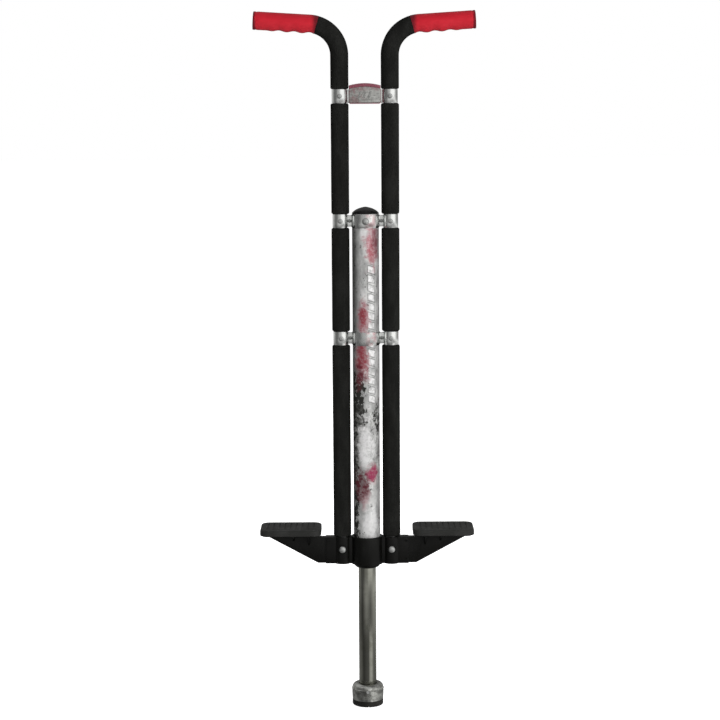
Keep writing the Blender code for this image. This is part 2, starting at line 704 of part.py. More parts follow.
def piston():
    """Nylon cup over the shaft's top, which guides it in the housing and carries the thrust washer."""
    bore = SHAFT_R + FIT
    roof = SHAFT_TOP + FIT
    profile = [(0, roof), (bore, roof), (bore, PISTON_BOTTOM), (PISTON_R - MM, PISTON_BOTTOM)]
    profile += [(PISTON_R, PISTON_BOTTOM + MM), (PISTON_R, PISTON_TOP - MM), (PISTON_R - MM, PISTON_TOP)]
    profile += [(0, PISTON_TOP)]
    obj = piece("piston", turned(profile, PLUNGER_SIDES, ring=False), "natural_nylon")
    hole = laid_along_x(drill(PIN_HOLE_R, -2 * PISTON_R, 2 * PISTON_R), (0, 0, PISTON_PIN_Z))
    return combine(obj, "DIFFERENCE", helper("hole_piston", hole))


def cross_pins():
    upper = rod(PIN_R, -PISTON_R + MM, PISTON_R - MM, 10)
    piece("piston_pin", laid_along_x(upper, (0, 0, PISTON_PIN_Z)), "zinc")
    lower = rod(PIN_R, -FERRULE_R + 0.8 * MM, FERRULE_R - 0.8 * MM, 10)
    piece("ferrule_pin", laid_along_y(lower, (0, 0, FERRULE_PIN_Z)), "zinc")


def thrust_washer():
    low = PISTON_TOP + FIT
    bm = tube(16.4 * MM, 5 * MM, low, low + WASHER_T, 24)
    return piece("thrust_washer", bm, "zinc")


def ferrule():
    """Cup on the shaft's foot: the shaft stands on its floor, and the rubber tip plugs in under it."""
    shoulder = [(0.575, 1.0), (0.72, 0.985), (0.87, 0.925), (0.965, 0.80), (1.0, 0.60), (0.995, 0.35), (0.97, 0)]
    span = FERRULE_TOP - FERRULE_BOTTOM
    profile = [(0, 14 * MM), (20.4 * MM, 14 * MM), (20.4 * MM, FERRULE_BOTTOM)]
    profile += [(FERRULE_R * share, FERRULE_BOTTOM + span * rise) for share, rise in reversed(shoulder)]
    profile += [(SHAFT_R + FIT, FERRULE_TOP - 0.2 * MM), (SHAFT_R + FIT, 16 * MM), (0, 16 * MM)]
    obj = piece("tip_ferrule", turned(profile, 24, ring=False), "chrome")
    hole = laid_along_y(drill(PIN_HOLE_R, -2 * FERRULE_R, 2 * FERRULE_R), (0, 0, FERRULE_PIN_Z))
    return combine(obj, "DIFFERENCE", helper("hole_ferrule", hole))


def rubber_tip():
    """Flat-soled rubber foot with a stem inside the ferrule."""
    chamfer = 0.8 * MM
    rim_top = FERRULE_BOTTOM - FIT
    profile = [
        (0, 0),
        (TIP_R - chamfer, 0),
        (TIP_R, chamfer),
        (TIP_R, rim_top),
        (20.1 * MM, rim_top),
        (20.1 * MM, 14 * MM - FIT),
        (0, 14 * MM - FIT),
    ]
    return piece("rubber_tip", turned(profile, 24, ring=False), "black_rubber")


def build_side(label, side):
    """The handlebar, sleeves, grip and rivets of one side."""
    handlebar_tube(f"{label}_handlebar", side)
    hand_grip(f"{label}_grip", side)
    foam_over_bend(f"{label}_foam_bend", side)
    half = STRAP_HEIGHT / 2
    foam_sleeve(f"{label}_foam_upper", side, MIDDLE_CLAMP_Z + half, TOP_CLAMP_Z - half)
    foam_sleeve(f"{label}_foam_middle", side, LOWER_CLAMP_Z + half, MIDDLE_CLAMP_Z - half)
    foam_sleeve(f"{label}_foam_lower", side, HUB_TOP, LOWER_CLAMP_Z - half)
    for level, z in (("top", TOP_CLAMP_Z), ("middle", MIDDLE_CLAMP_Z), ("lower", LOWER_CLAMP_Z)):
        clamp_rivet(f"{label}_{level}_rivet_front", side * BAR_X, z, rear=False)
        clamp_rivet(f"{label}_{level}_rivet_rear", side * BAR_X, z, rear=True)
    tread_pad(f"{label}_tread_pad", side)
    boss_face = SOCKET_R + MM + SEAT
    cap_bolt(f"{label}_foot_bolt", side * BAR_X, HUB_BOLT_Z, boss_face, boss_face + 7 * MM)
    hex_nut(f"{label}_foot_nut", side * BAR_X, HUB_BOLT_Z, boss_face)


def main():
    clear_scene()
    for label, side in (("left", -1), ("right", 1)):
        build_side(label, side)
    for level, z, belly in (
        ("top", TOP_CLAMP_Z, False),
        ("middle", MIDDLE_CLAMP_Z, True),
        ("lower", LOWER_CLAMP_Z, True),
    ):
        clamp_strap(f"{level}_clamp_front", z, belly, rear=False)
        clamp_strap(f"{level}_clamp_rear", z, belly, rear=True)
    badge()
    housing()
    dome_cap()
    spring_plug()
    cap_bolt("cross_bolt", 0, MIDDLE_CLAMP_Z, BELLY_OUT + SEAT, BELLY_OUT + 7 * MM)
    hex_nut("cross_nut", 0, MIDDLE_CLAMP_Z, BELLY_OUT + SEAT)
    main_spring()
    footrest()
    hub_screw()
    guide_bush()
    rebound_bumper()
    plunger_shaft()
    piston()
    cross_pins()
    thrust_washer()
    ferrule()
    rubber_tip()


main()
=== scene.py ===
"""Looks of the twin-tube pogo stick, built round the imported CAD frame.

Lengths are in metres. +Z is up, +X runs across the handles and -Y is the front, where the badge is. Each
sub-assembly is a class with its own sizes, and every finish is a procedural material on Object coordinates.
"""

from __future__ import annotations

import json
import logging
import math
from collections.abc import Callable, Iterable, Sequence
from dataclasses import dataclass, field
from enum import Enum

import bmesh
import bpy
from mathutils import Matrix, Vector, noise

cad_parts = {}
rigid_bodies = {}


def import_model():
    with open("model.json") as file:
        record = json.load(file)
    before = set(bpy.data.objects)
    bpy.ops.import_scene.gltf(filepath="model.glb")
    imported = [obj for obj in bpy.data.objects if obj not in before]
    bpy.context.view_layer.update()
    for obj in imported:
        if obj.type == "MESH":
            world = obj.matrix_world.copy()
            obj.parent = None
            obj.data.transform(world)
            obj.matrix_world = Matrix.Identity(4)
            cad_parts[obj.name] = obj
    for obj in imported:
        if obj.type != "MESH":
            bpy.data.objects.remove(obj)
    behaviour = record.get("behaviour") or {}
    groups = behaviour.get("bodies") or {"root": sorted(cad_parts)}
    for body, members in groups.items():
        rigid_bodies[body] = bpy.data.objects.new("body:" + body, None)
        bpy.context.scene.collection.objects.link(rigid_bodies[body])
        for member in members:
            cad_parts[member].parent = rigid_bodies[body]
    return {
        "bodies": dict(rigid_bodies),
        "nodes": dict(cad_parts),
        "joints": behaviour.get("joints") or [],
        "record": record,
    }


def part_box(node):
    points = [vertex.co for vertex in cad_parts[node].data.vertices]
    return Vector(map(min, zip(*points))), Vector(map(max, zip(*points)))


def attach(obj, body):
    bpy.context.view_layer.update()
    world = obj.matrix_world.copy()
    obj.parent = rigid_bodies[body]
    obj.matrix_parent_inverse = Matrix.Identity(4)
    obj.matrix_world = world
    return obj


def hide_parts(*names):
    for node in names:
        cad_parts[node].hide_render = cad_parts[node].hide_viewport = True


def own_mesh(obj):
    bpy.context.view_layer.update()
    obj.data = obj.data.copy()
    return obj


log = logging.getLogger("pogo_stick")

MM = 0.001
Colour = tuple[float, float, float]
Profile = Sequence[tuple[float, float]]
Socket = bpy.types.NodeSocket


class Side(Enum):
    """A side of the stick, as the sign of X."""

    LEFT = -1
    RIGHT = 1

    @property
    def label(self) -> str:
        """Lower-case word for names."""
        return self.name.lower()


class Face(Enum):
    """Front or rear half, as the sign of Y."""

    FRONT = -1
    REAR = 1

    @property
    def label(self) -> str:
        """Lower-case word for names."""
        return self.name.lower()


class Body(Enum):
    """The rigid bodies that pieces ride on."""

    FRAME = "frame"
    PLUNGER = "plunger"


class Cut(Enum):
    """What a tool does to the piece it is applied to."""

    ADD = "UNION"
    REMOVE = "DIFFERENCE"


# Node trees


class NodeDesk:
    """Places and links nodes in one node tree."""

    def __init__(self, tree: bpy.types.NodeTree) -> None:
        """Takes the tree to work in."""
        self.tree = tree

    def feed(self, socket: Socket, value: object) -> None:
        """Links a socket to another one, or sets its plain value.

        Args:
            socket: The input to fill.
            value: An output socket, a number or a tuple.
        """
        if isinstance(value, bpy.types.NodeSocket):
            self.tree.links.new(value, socket)
        else:
            socket.default_value = value

    def place(self, kind: str, inputs: dict[str, object] | None = None, **settings: object) -> bpy.types.Node:
        """Adds a node.

        Args:
            kind: The node's type name.
            inputs: Values or sockets by input name.
            settings: Properties of the node itself.

        Returns:
            The new node.
        """
        node = self.tree.nodes.new(kind)
        for name, value in settings.items():
            setattr(node, name, value)
        for name, value in (inputs or {}).items():
            self.feed(node.inputs[name], value)
        return node

    def math(self, operation: str, first: object, second: object = 0.0, third: object = 0.0) -> Socket:
        """Adds a Math node and returns its value."""
        node = self.place("ShaderNodeMath", operation=operation)
        for socket, value in zip(node.inputs, (first, second, third)):
            self.feed(socket, value)
        return node.outputs[0]

    def blend(self, share: object, low: object, high: object, mode: str = "MIX") -> Socket:
        """Mixes two colours.

        Args:
            share: How much of the second colour shows, from 0 to 1.
            low: Colour at 0.
            high: Colour at 1.
            mode: The Mix node's blend type.

        Returns:
            The mixed colour.
        """
        node = self.place("ShaderNodeMix", data_type="RGBA", blend_type=mode)
        for index, value in ((0, share), (6, low), (7, high)):
            self.feed(node.inputs[index], (*value, 1) if isinstance(value, tuple) else value)
        return node.outputs[2]

    def band(self, value: object, start: float, end: float, low: object = 0.0, high: object = 1.0) -> Socket:
        """A smooth step from low to high as value goes from start to end."""
        node = self.place("ShaderNodeMapRange", interpolation_type="SMOOTHSTEP")
        for socket, item in zip(node.inputs, (value, start, end, low, high)):
            self.feed(socket, item)
        return node.outputs[0]

    def noise(self, where: Socket, scale: float, detail: float = 2.0, roughness: float = 0.5) -> Socket:
        """Noise from 0 to 1 at a position."""
        inputs = {"Vector": where, "Scale": scale, "Detail": detail, "Roughness": roughness}
        return self.place("ShaderNodeTexNoise", inputs).outputs["Fac"]

    def cells(self, where: Socket, scale: object) -> Socket:
        """Distance to the nearest point of a scatter of cells."""
        return self.place("ShaderNodeTexVoronoi", {"Vector": where, "Scale": scale}).outputs["Distance"]

    def position(self) -> Socket:
        """Position on the piece, in metres."""
        return self.place("ShaderNodeTexCoord").outputs["Object"]

    def stretched(self, where: Socket, scale: tuple[float, float, float]) -> Socket:
        """A position scaled along each axis."""
        return self.place("ShaderNodeMapping", {"Vector": where, "Scale": scale}).outputs[0]

    def vector(self, x: object, y: object, z: object) -> Socket:
        """A vector from three numbers."""
        return self.place("ShaderNodeCombineXYZ", {"X": x, "Y": y, "Z": z}).outputs[0]

    def round_and_height(self, where: Socket) -> tuple[Socket, Socket]:
        """Angle about Z from the front, positive to the right, and height."""
        parts = self.place("ShaderNodeSeparateXYZ", {"Vector": where}).outputs
        back = self.math("MULTIPLY", parts["Y"], -1.0)
        return self.math("ARCTAN2", parts["X"], back), parts["Z"]

    def bump(self, height: Socket, depth: float, strength: float = 1.0, under: Socket | None = None) -> Socket:
        """A normal from a height.

        Args:
            height: Height from 0 to 1.
            depth: Real depth of a height of 1, in metres.
            strength: Share of the effect.
            under: A normal to add it to.

        Returns:
            The normal.
        """
        inputs: dict[str, object] = {"Height": height, "Distance": depth, "Strength": strength}
        if under is not None:
            inputs["Normal"] = under
        return self.place("ShaderNodeBump", inputs).outputs[0]

    def effect(self, group: bpy.types.ShaderNodeTree, inputs: dict[str, object]) -> bpy.types.Node:
        """Places a node group with its own values."""
        node = self.place("ShaderNodeGroup")
        node.node_tree = group
        for name, value in inputs.items():
            self.feed(node.inputs[name], value)
        return node


class Effects:
    """Node groups that several finishes share, each built once."""

    @staticmethod
    def group(
        name: str, inputs: dict[str, tuple[str, object]], outputs: dict[str, str], wire: Callable[..., dict]
    ) -> bpy.types.ShaderNodeTree:
        """Builds a node group, or returns the one that exists.

        Args:
            name: The group's name.
            inputs: Socket type and default value by input name.
            outputs: Socket type by output name.
            wire: Makes the nodes from a desk and the group's input sockets, and returns output sockets by name.

        Returns:
            The group.
        """
        found = bpy.data.node_groups.get(name)
        if found:
            return found
        tree = bpy.data.node_groups.new(name, "ShaderNodeTree")
        for port, (kind, value) in inputs.items():
            socket = tree.interface.new_socket(port, in_out="INPUT", socket_type=kind)
            if value is not None:
                socket.default_value = value
        for port, kind in outputs.items():
            tree.interface.new_socket(port, in_out="OUTPUT", socket_type=kind)
        desk = NodeDesk(tree)
        entry = desk.place("NodeGroupInput")
        leave = desk.place("NodeGroupOutput")
        for port, value in wire(desk, entry.outputs).items():
            desk.feed(leave.inputs[port], value)
        return tree

    @classmethod
    def grain(cls) -> bpy.types.ShaderNodeTree:
        """Fine moulded grain: a height, and a slow mask of where the surface is more polished."""

        def wire(desk: NodeDesk, given: bpy.types.NodeOutputs) -> dict[str, Socket]:
            """Links the grain's nodes."""
            where = given["Position"]
            fine = desk.place("ShaderNodeTexNoise", {"Vector": where, "Scale": given["Scale"], "Detail": 3.0})
            slow = desk.noise(where, 38.0, 3.0, 0.6)
            return {"Height": fine.outputs["Fac"], "Polish": desk.band(slow, 0.35, 0.7)}

        return cls.group(
            "moulded_grain",
            {"Position": ("NodeSocketVector", None), "Scale": ("NodeSocketFloat", 2500.0)},
            {"Height": "NodeSocketFloat", "Polish": "NodeSocketFloat"},
            wire,
        )

    @classmethod
    def handling(cls) -> bpy.types.ShaderNodeTree:
        """Marks of use on metal: smudges, and fine lengthwise scratches."""

        def wire(desk: NodeDesk, given: bpy.types.NodeOutputs) -> dict[str, Socket]:
            """Links the marks' nodes."""
            where = given["Position"]
            smudge = desk.band(desk.noise(where, 55.0, 4.0, 0.62), 0.42, 0.68)
            streaks = desk.noise(desk.stretched(where, (900.0, 900.0, 30.0)), 1.0, 2.0, 0.6)
            scratch = desk.band(streaks, 0.62, 0.72)
            return {
                "Smudge": desk.math("MULTIPLY", smudge, given["Amount"]),
                "Scratch": desk.math("MULTIPLY", scratch, given["Amount"]),
            }

        return cls.group(
            "handling_marks",
            {"Position": ("NodeSocketVector", None), "Amount": ("NodeSocketFloat", 1.0)},
            {"Smudge": "NodeSocketFloat", "Scratch": "NodeSocketFloat"},
            wire,
        )

    @classmethod
    def splash(cls) -> bpy.types.ShaderNodeTree:
        """A ragged blot of print on a tube, round a place given by angle and height."""

        def wire(desk: NodeDesk, given: bpy.types.NodeOutputs) -> dict[str, Socket]:
            """Links the blot's nodes."""
            away = desk.math("SUBTRACT", given["Angle"], given["Centre angle"])
            away = desk.math("WRAP", away, math.pi, -math.pi)
            up = desk.math("SUBTRACT", given["Height"], given["Centre height"])
            across = desk.math("DIVIDE", away, given["Half angle"])
            along = desk.math("DIVIDE", up, given["Half height"])
            squares = desk.math("ADD", desk.math("MULTIPLY", across, across), desk.math("MULTIPLY", along, along))
            radius = desk.math("SQRT", squares)
            ragged = desk.place(
                "ShaderNodeTexNoise",
                {"Vector": given["Print"], "Scale": 95.0, "Detail": 5.0, "Roughness": 0.66, "Distortion": 0.4},
            ).outputs["Fac"]
            edge = desk.math("MULTIPLY_ADD", desk.math("SUBTRACT", ragged, 0.5), given["Ragged"], radius)
            blotches = desk.band(desk.noise(given["Print"], 210.0, 4.0, 0.6), 0.36, 0.60, 0.62, 1.0)
            return {"Mask": desk.math("MULTIPLY", desk.band(edge, 1.3, 0.55), blotches)}

        numbers = {
            "Angle": 0.0,
            "Height": 0.0,
            "Centre angle": 0.0,
            "Centre height": 0.0,
            "Half angle": 0.5,
            "Half height": 0.02,
            "Ragged": 2.3,
        }
        ports: dict[str, tuple[str, object]] = {name: ("NodeSocketFloat", v) for name, v in numbers.items()}
        ports["Print"] = ("NodeSocketVector", None)
        return cls.group("print_splash", ports, {"Mask": "NodeSocketFloat"}, wire)


# Finishes


@dataclass(frozen=True)
class Finish:
    """A material with one Principled shader. Subclasses add what varies over the surface."""

    name: str
    slot: str
    colour: Colour
    roughness: float = 0.5
    metallic: float = 0.0
    specular: float = 0.5

    def material(self) -> bpy.types.Material:
        """The finish's material, made once."""
        found = bpy.data.materials.get(self.name)
        if found:
            return found
        made = bpy.data.materials.new(self.name)
        made.use_nodes = True
        made.diffuse_color = (*self.colour, 1)
        shader = made.node_tree.nodes["Principled BSDF"]
        shader.inputs["Base Color"].default_value = (*self.colour, 1)
        shader.inputs["Roughness"].default_value = self.roughness
        shader.inputs["Metallic"].default_value = self.metallic
        shader.inputs["Specular IOR Level"].default_value = self.specular
        desk = NodeDesk(made.node_tree)
        self.dress(desk, shader, desk.position())
        return made

    def dress(self, desk: NodeDesk, shader: bpy.types.Node, where: Socket) -> None:
        """Links what varies over the surface.

        Args:
            desk: Desk on the material's tree.
            shader: Its Principled shader.
            where: Object coordinates.
        """
        raise NotImplementedError


@dataclass(frozen=True)
class Plated(Finish):
    """Plated or bright metal with smudges and fine scratches."""

    smudge_colour: Colour = (0.5, 0.5, 0.5)
    wear: float = 0.5
    ripple: float = 0.0

    def dress(self, desk: NodeDesk, shader: bpy.types.Node, where: Socket) -> None:
        """Links smudges to colour and roughness, and scratches to roughness and bump."""
        marks = desk.effect(Effects.handling(), {"Position": where, "Amount": self.wear}).outputs
        colour = desk.blend(marks["Smudge"], self.colour, self.smudge_colour)
        desk.feed(shader.inputs["Base Color"], colour)
        rough = desk.math("MULTIPLY_ADD", marks["Smudge"], 0.16, self.roughness)
        rough = desk.math("MULTIPLY_ADD", marks["Scratch"], 0.18, rough)
        desk.feed(shader.inputs["Roughness"], rough)
        under = None
        if self.ripple:
            waves = desk.noise(desk.stretched(where, (1.0, 1.0, 0.22)), 95.0, 2.0, 0.5)
            under = desk.bump(waves, self.ripple, 0.5)
        desk.feed(shader.inputs["Normal"], desk.bump(marks["Scratch"], -0.00002, 0.4, under))


@dataclass(frozen=True)
class ClampPlating(Plated):
    """Clamp plating with a faint red bloom of rubbed-off print on the front of the straps."""

    bloom: Colour = (0.62, 0.30, 0.33)

    def dress(self, desk: NodeDesk, shader: bpy.types.Node, where: Socket) -> None:
        """Links the plating, then lays the bloom over its colour."""
        super().dress(desk, shader, where)
        colour = shader.inputs["Base Color"].links[0].from_socket
        parts = desk.place("ShaderNodeSeparateXYZ", {"Vector": where}).outputs
        off = desk.math("ABSOLUTE", desk.math("SUBTRACT", parts["X"], 0.008))
        rubbed = desk.band(desk.noise(where, 130.0, 4.0, 0.6), 0.40, 0.58)
        share = desk.math("MULTIPLY", desk.band(off, 0.011, 0.004), rubbed)
        share = desk.math("MULTIPLY", share, desk.band(parts["Y"], -0.012, -0.016, 0.0, 0.55))
        desk.feed(shader.inputs["Base Color"], desk.blend(share, colour, self.bloom))


@dataclass(frozen=True)
class Moulded(Finish):
    """Moulded plastic or rubber with a fine grain that is more polished in places."""

    worn_colour: Colour = (0.05, 0.05, 0.05)
    grain_scale: float = 2500.0
    grain_depth: float = 0.00006

    def dress(self, desk: NodeDesk, shader: bpy.types.Node, where: Socket) -> None:
        """Links the grain."""
        grain = desk.effect(Effects.grain(), {"Position": where, "Scale": self.grain_scale}).outputs
        share = desk.math("MULTIPLY", grain["Polish"], 0.6)
        desk.feed(shader.inputs["Base Color"], desk.blend(share, self.colour, self.worn_colour))
        rough = desk.math("MULTIPLY_ADD", grain["Polish"], -0.12, self.roughness)
        desk.feed(shader.inputs["Roughness"], rough)
        desk.feed(shader.inputs["Normal"], desk.bump(grain["Height"], self.grain_depth, 0.6))


@dataclass(frozen=True)
class GripRubber(Moulded):
    """Red rubber with painted shade: a dark maroon band where it meets the foam and round its outer end."""

    # Colour of the painted shade at both ends of the grip.
    grime: Colour = (0.06, 0.004, 0.008)
    inner: float = 0.0705
    outer: float = 0.1540

    def dress(self, desk: NodeDesk, shader: bpy.types.Node, where: Socket) -> None:
        """Links the grain, then lays the painted shade over its colour."""
        super().dress(desk, shader, where)
        colour = shader.inputs["Base Color"].links[0].from_socket
        parts = desk.place("ShaderNodeSeparateXYZ", {"Vector": where}).outputs
        wander = desk.math("MULTIPLY_ADD", desk.noise(where, 220.0, 4.0, 0.6), 0.004, -0.002)
        out = desk.math("ADD", desk.math("ABSOLUTE", parts["X"]), wander)
        # Painted shade: dark maroon bands at the inner end against the foam and over the rounded outer end.
        near_foam = desk.band(out, self.inner + 0.005, self.inner - 0.003)
        near_end = desk.band(out, self.outer - 0.0030, self.outer)
        share = desk.math("MULTIPLY", desk.math("MAXIMUM", near_foam, near_end), 0.85)
        desk.feed(shader.inputs["Base Color"], desk.blend(share, colour, self.grime))


@dataclass(frozen=True)
class Foam(Finish):
    """Closed-cell foam: tiny open cells on a cut skin, with a faint sheen."""

    cell_scale: float = 900.0

    def dress(self, desk: NodeDesk, shader: bpy.types.Node, where: Socket) -> None:
        """Links the cells to colour and bump, and slow dents to a second bump."""
        cells = desk.band(desk.cells(where, self.cell_scale), 0.1, 0.6)
        patches = desk.noise(desk.stretched(where, (1.0, 1.0, 0.35)), 70.0, 4.0, 0.6)
        light = desk.blend(desk.band(patches, 0.35, 0.7), self.colour, tuple(1.55 * c for c in self.colour))
        desk.feed(shader.inputs["Base Color"], desk.blend(cells, tuple(0.45 * c for c in self.colour), light))
        desk.feed(shader.inputs["Roughness"], desk.band(patches, 0.3, 0.7, 0.95, 0.82))
        dents = desk.bump(patches, 0.0006, 0.35)
        desk.feed(shader.inputs["Normal"], desk.bump(cells, 0.0001, 0.55, dents))


@dataclass(frozen=True)
class CastGrey(Finish):
    """Grey speckled metal of the ferrule, with fine upright flutes."""

    flutes: int = 72

    def dress(self, desk: NodeDesk, shader: bpy.types.Node, where: Socket) -> None:
        """Links the speckle and the flutes."""
        flecks = desk.noise(where, 120.0, 4.0, 0.6)
        colour = desk.blend(desk.band(flecks, 0.36, 0.60), (0.25, 0.25, 0.235), self.colour)
        pale = desk.band(desk.noise(where, 330.0, 3.0, 0.6), 0.55, 0.68)
        colour = desk.blend(desk.math("MULTIPLY", pale, 0.5), colour, (0.62, 0.62, 0.60))
        desk.feed(shader.inputs["Base Color"], colour)
        desk.feed(shader.inputs["Roughness"], desk.band(flecks, 0.35, 0.65, self.roughness + 0.1, self.roughness))
        angle, _ = desk.round_and_height(where)
        wave = desk.math("SINE", desk.math("MULTIPLY", angle, float(self.flutes)))
        rough = desk.bump(flecks, 0.0002, 0.4)
        desk.feed(shader.inputs["Normal"], desk.bump(wave, 0.0001, 0.3, rough))


@dataclass(frozen=True)
class Splash:
    """A blot of the housing's print."""

    angle: float
    height: float
    half_angle: float
    half_height: float
    colour: Colour
    strength: float = 0.9


RED = (0.25, 0.032, 0.045)
PINK = (0.36, 0.14, 0.165)
CRIMSON = (0.29, 0.030, 0.085)
MAROON = (0.095, 0.016, 0.024)
INK = (0.016, 0.016, 0.014)
WHITE = (0.86, 0.85, 0.85)


@dataclass(frozen=True)
class PrintedWrap(Finish):
    """Silver film round the housing, with worn black ink, red splashes and a row of plain slanted bars."""

    splashes: tuple[Splash, ...] = (
        Splash(-0.10, 0.692, 0.30, 0.012, WHITE, 0.6),
        Splash(0.62, 0.671, 0.74, 0.029, PINK, 0.95),
        Splash(0.85, 0.680, 0.42, 0.018, MAROON, 0.6),
        Splash(0.40, 0.658, 0.34, 0.014, RED, 0.5),
        Splash(-0.22, 0.567, 0.50, 0.027, PINK),
        Splash(-0.26, 0.571, 0.28, 0.015, RED),
        Splash(-0.44, 0.505, 0.62, 0.030, PINK, 0.85),
        Splash(-0.38, 0.510, 0.46, 0.022, RED),
        Splash(-0.55, 0.484, 0.50, 0.017, MAROON, 0.85),
        Splash(-0.10, 0.385, 0.60, 0.034, WHITE, 0.75),
        Splash(0.45, 0.344, 0.62, 0.015, PINK, 0.8),
        Splash(0.42, 0.345, 0.50, 0.011, CRIMSON),
        Splash(-0.20, 0.313, 0.40, 0.018, PINK, 0.6),
        Splash(-0.45, 0.328, 0.60, 0.022, MAROON, 0.95),
        Splash(0.30, 0.270, 0.55, 0.030, WHITE, 0.6),
        Splash(2.60, 0.640, 0.60, 0.034, PINK),
        Splash(2.80, 0.632, 0.40, 0.022, RED),
        Splash(-2.60, 0.520, 0.70, 0.036, PINK),
        Splash(-2.45, 0.512, 0.45, 0.024, RED),
        Splash(3.00, 0.400, 0.60, 0.024, CRIMSON),
        Splash(-2.40, 0.330, 0.50, 0.026, MAROON),
        Splash(1.90, 0.470, 0.55, 0.030, WHITE, 0.6),
    )

    def bars(self, desk: NodeDesk, torn: Socket, angle: Socket, height: Socket) -> tuple[Socket, Socket]:
        """A row of slanted bars up the front's right-hand side.

        Args:
            desk: Desk on the material's tree.
            torn: Noise that the bars' edges follow.
            angle: Angle about Z.
            height: Height.

        Returns:
            Mask of the bars, and mask of the bars with their outline.
        """
        slant = desk.math("MULTIPLY_ADD", angle, 0.006, height)
        place = desk.math("FRACT", desk.math("DIVIDE", slant, 0.0132))
        wander = desk.math("SUBTRACT", torn, 0.5)
        off = desk.math("MULTIPLY_ADD", wander, 0.22, desk.math("ABSOLUTE", desk.math("SUBTRACT", place, 0.5)))
        side = desk.math("MULTIPLY_ADD", wander, 0.18, desk.math("ABSOLUTE", desk.math("SUBTRACT", angle, 0.43)))
        rows = desk.math("MULTIPLY", desk.band(height, 0.4445, 0.4475), desk.band(height, 0.6475, 0.6445))
        masks = []
        for half_gap, half_width in ((0.33, 0.25), (0.46, 0.33)):
            within = desk.math("MULTIPLY", desk.band(off, half_gap + 0.03, half_gap - 0.05), rows)
            masks.append(desk.math("MULTIPLY", within, desk.band(side, half_width + 0.02, half_width - 0.04)))
        return masks[0], masks[1]

    def film(self, desk: NodeDesk, paper: Socket, angle: Socket, height: Socket) -> Socket:
        """The silver film: cloudy patches, and painted shade that darkens it to the left near the top.

        Args:
            desk: Desk on the material's tree.
            paper: Position on the print.
            angle: Angle about Z.
            height: Height.

        Returns:
            Its colour.
        """
        clouds = desk.band(desk.noise(desk.stretched(paper, (1.0, 1.0, 0.6)), 70.0, 5.0, 0.62), 0.34, 0.66)
        fine = desk.band(desk.noise(desk.stretched(paper, (1.0, 1.0, 0.25)), 420.0, 4.0, 0.6), 0.3, 0.7)
        colour = desk.blend(clouds, (0.34, 0.34, 0.335), self.colour)
        colour = desk.blend(desk.math("MULTIPLY", fine, 0.25), colour, (0.30, 0.30, 0.295))
        # Painted shade: the film is made darker to the left, more so higher up, a dark reflection painted into its
        # colour.
        turn = desk.math("MULTIPLY_ADD", desk.noise(paper, 40.0, 3.0), 0.4, angle)
        left = desk.math("MULTIPLY", desk.band(turn, -0.05, -0.85), desk.band(turn, -3.1, -2.2))
        low = desk.band(height, 0.44, 0.60, 0.25, 0.72)
        return desk.blend(desk.math("MULTIPLY", left, low), colour, (0.085, 0.085, 0.082))

    def ink(self, desk: NodeDesk, torn: Socket, angle: Socket, height: Socket) -> Socket:
        """Mask of the worn black ink: thick on the left below the lower clamp, and a thin strip under that.

        Args:
            desk: Desk on the material's tree.
            torn: Noise that the ink's edges follow.
            angle: Angle about Z.
            height: Height.

        Returns:
            The mask.
        """
        around = desk.math("MULTIPLY", desk.band(angle, 0.22, -0.35), desk.band(angle, -3.0, -1.8))
        middle = desk.math("MULTIPLY", desk.band(height, 0.375, 0.43), desk.band(height, 0.505, 0.465))
        strip = desk.math("MULTIPLY", desk.band(angle, -0.42, -0.80), desk.band(angle, -3.0, -1.8))
        strip = desk.math("MULTIPLY", strip, desk.band(height, 0.47, 0.42))
        thick = desk.math("MULTIPLY", desk.math("MULTIPLY", around, middle), 0.19)
        amount = desk.math("MAXIMUM", thick, desk.math("MULTIPLY", strip, 0.16))
        streak = desk.math("MULTIPLY", desk.band(angle, 0.35, 0.85), desk.band(angle, 1.5, 1.1))
        level = desk.math("MULTIPLY", desk.band(height, 0.39, 0.42), desk.band(height, 0.455, 0.435))
        streak = desk.math("MULTIPLY", streak, level)
        amount = desk.math("MAXIMUM", amount, desk.math("MULTIPLY", streak, 0.15))
        return desk.band(desk.math("ADD", torn, amount), 0.60, 0.65)

    def dress(self, desk: NodeDesk, shader: bpy.types.Node, where: Socket) -> None:
        """Links the layers of the print from the film outwards."""
        angle, height = desk.round_and_height(where)
        across = desk.math("MULTIPLY", desk.math("SINE", angle), 0.019)
        depth = desk.math("MULTIPLY", desk.math("COSINE", angle), 0.019)
        paper = desk.vector(across, depth, height)
        colour = self.film(desk, paper, angle, height)

        torn = desk.noise(desk.stretched(paper, (1.0, 1.0, 0.8)), 150.0, 5.0, 0.70)
        ink = self.ink(desk, torn, angle, height)
        colour = desk.blend(desk.math("MULTIPLY", ink, 0.985), colour, INK)

        # Grey crackle across the middle of the lower half, and specks above
        crackle = desk.math("ABSOLUTE", desk.math("SUBTRACT", desk.noise(paper, 85.0, 5.0, 0.62), 0.5))
        zone = desk.math("MULTIPLY", desk.band(height, 0.31, 0.35), desk.band(height, 0.455, 0.42))
        lines = desk.math("MULTIPLY", desk.band(crackle, 0.05, 0.005), zone)
        colour = desk.blend(desk.math("MULTIPLY", lines, 0.55), colour, (0.17, 0.17, 0.16))
        specks = desk.band(desk.noise(paper, 330.0, 2.0, 0.5), 0.64, 0.70)
        zone = desk.math("MULTIPLY", desk.band(height, 0.585, 0.605), desk.band(height, 0.645, 0.625))
        colour = desk.blend(desk.math("MULTIPLY", specks, zone), colour, INK)

        bars, outlined = self.bars(desk, torn, angle, height)
        edge = desk.math("MULTIPLY", outlined, desk.band(torn, 0.66, 0.40, 0.35, 0.62))
        colour = desk.blend(edge, colour, (0.07, 0.07, 0.07))
        colour = desk.blend(desk.math("MULTIPLY", bars, desk.band(torn, 0.60, 0.42, 0.22, 0.66)), colour, WHITE)

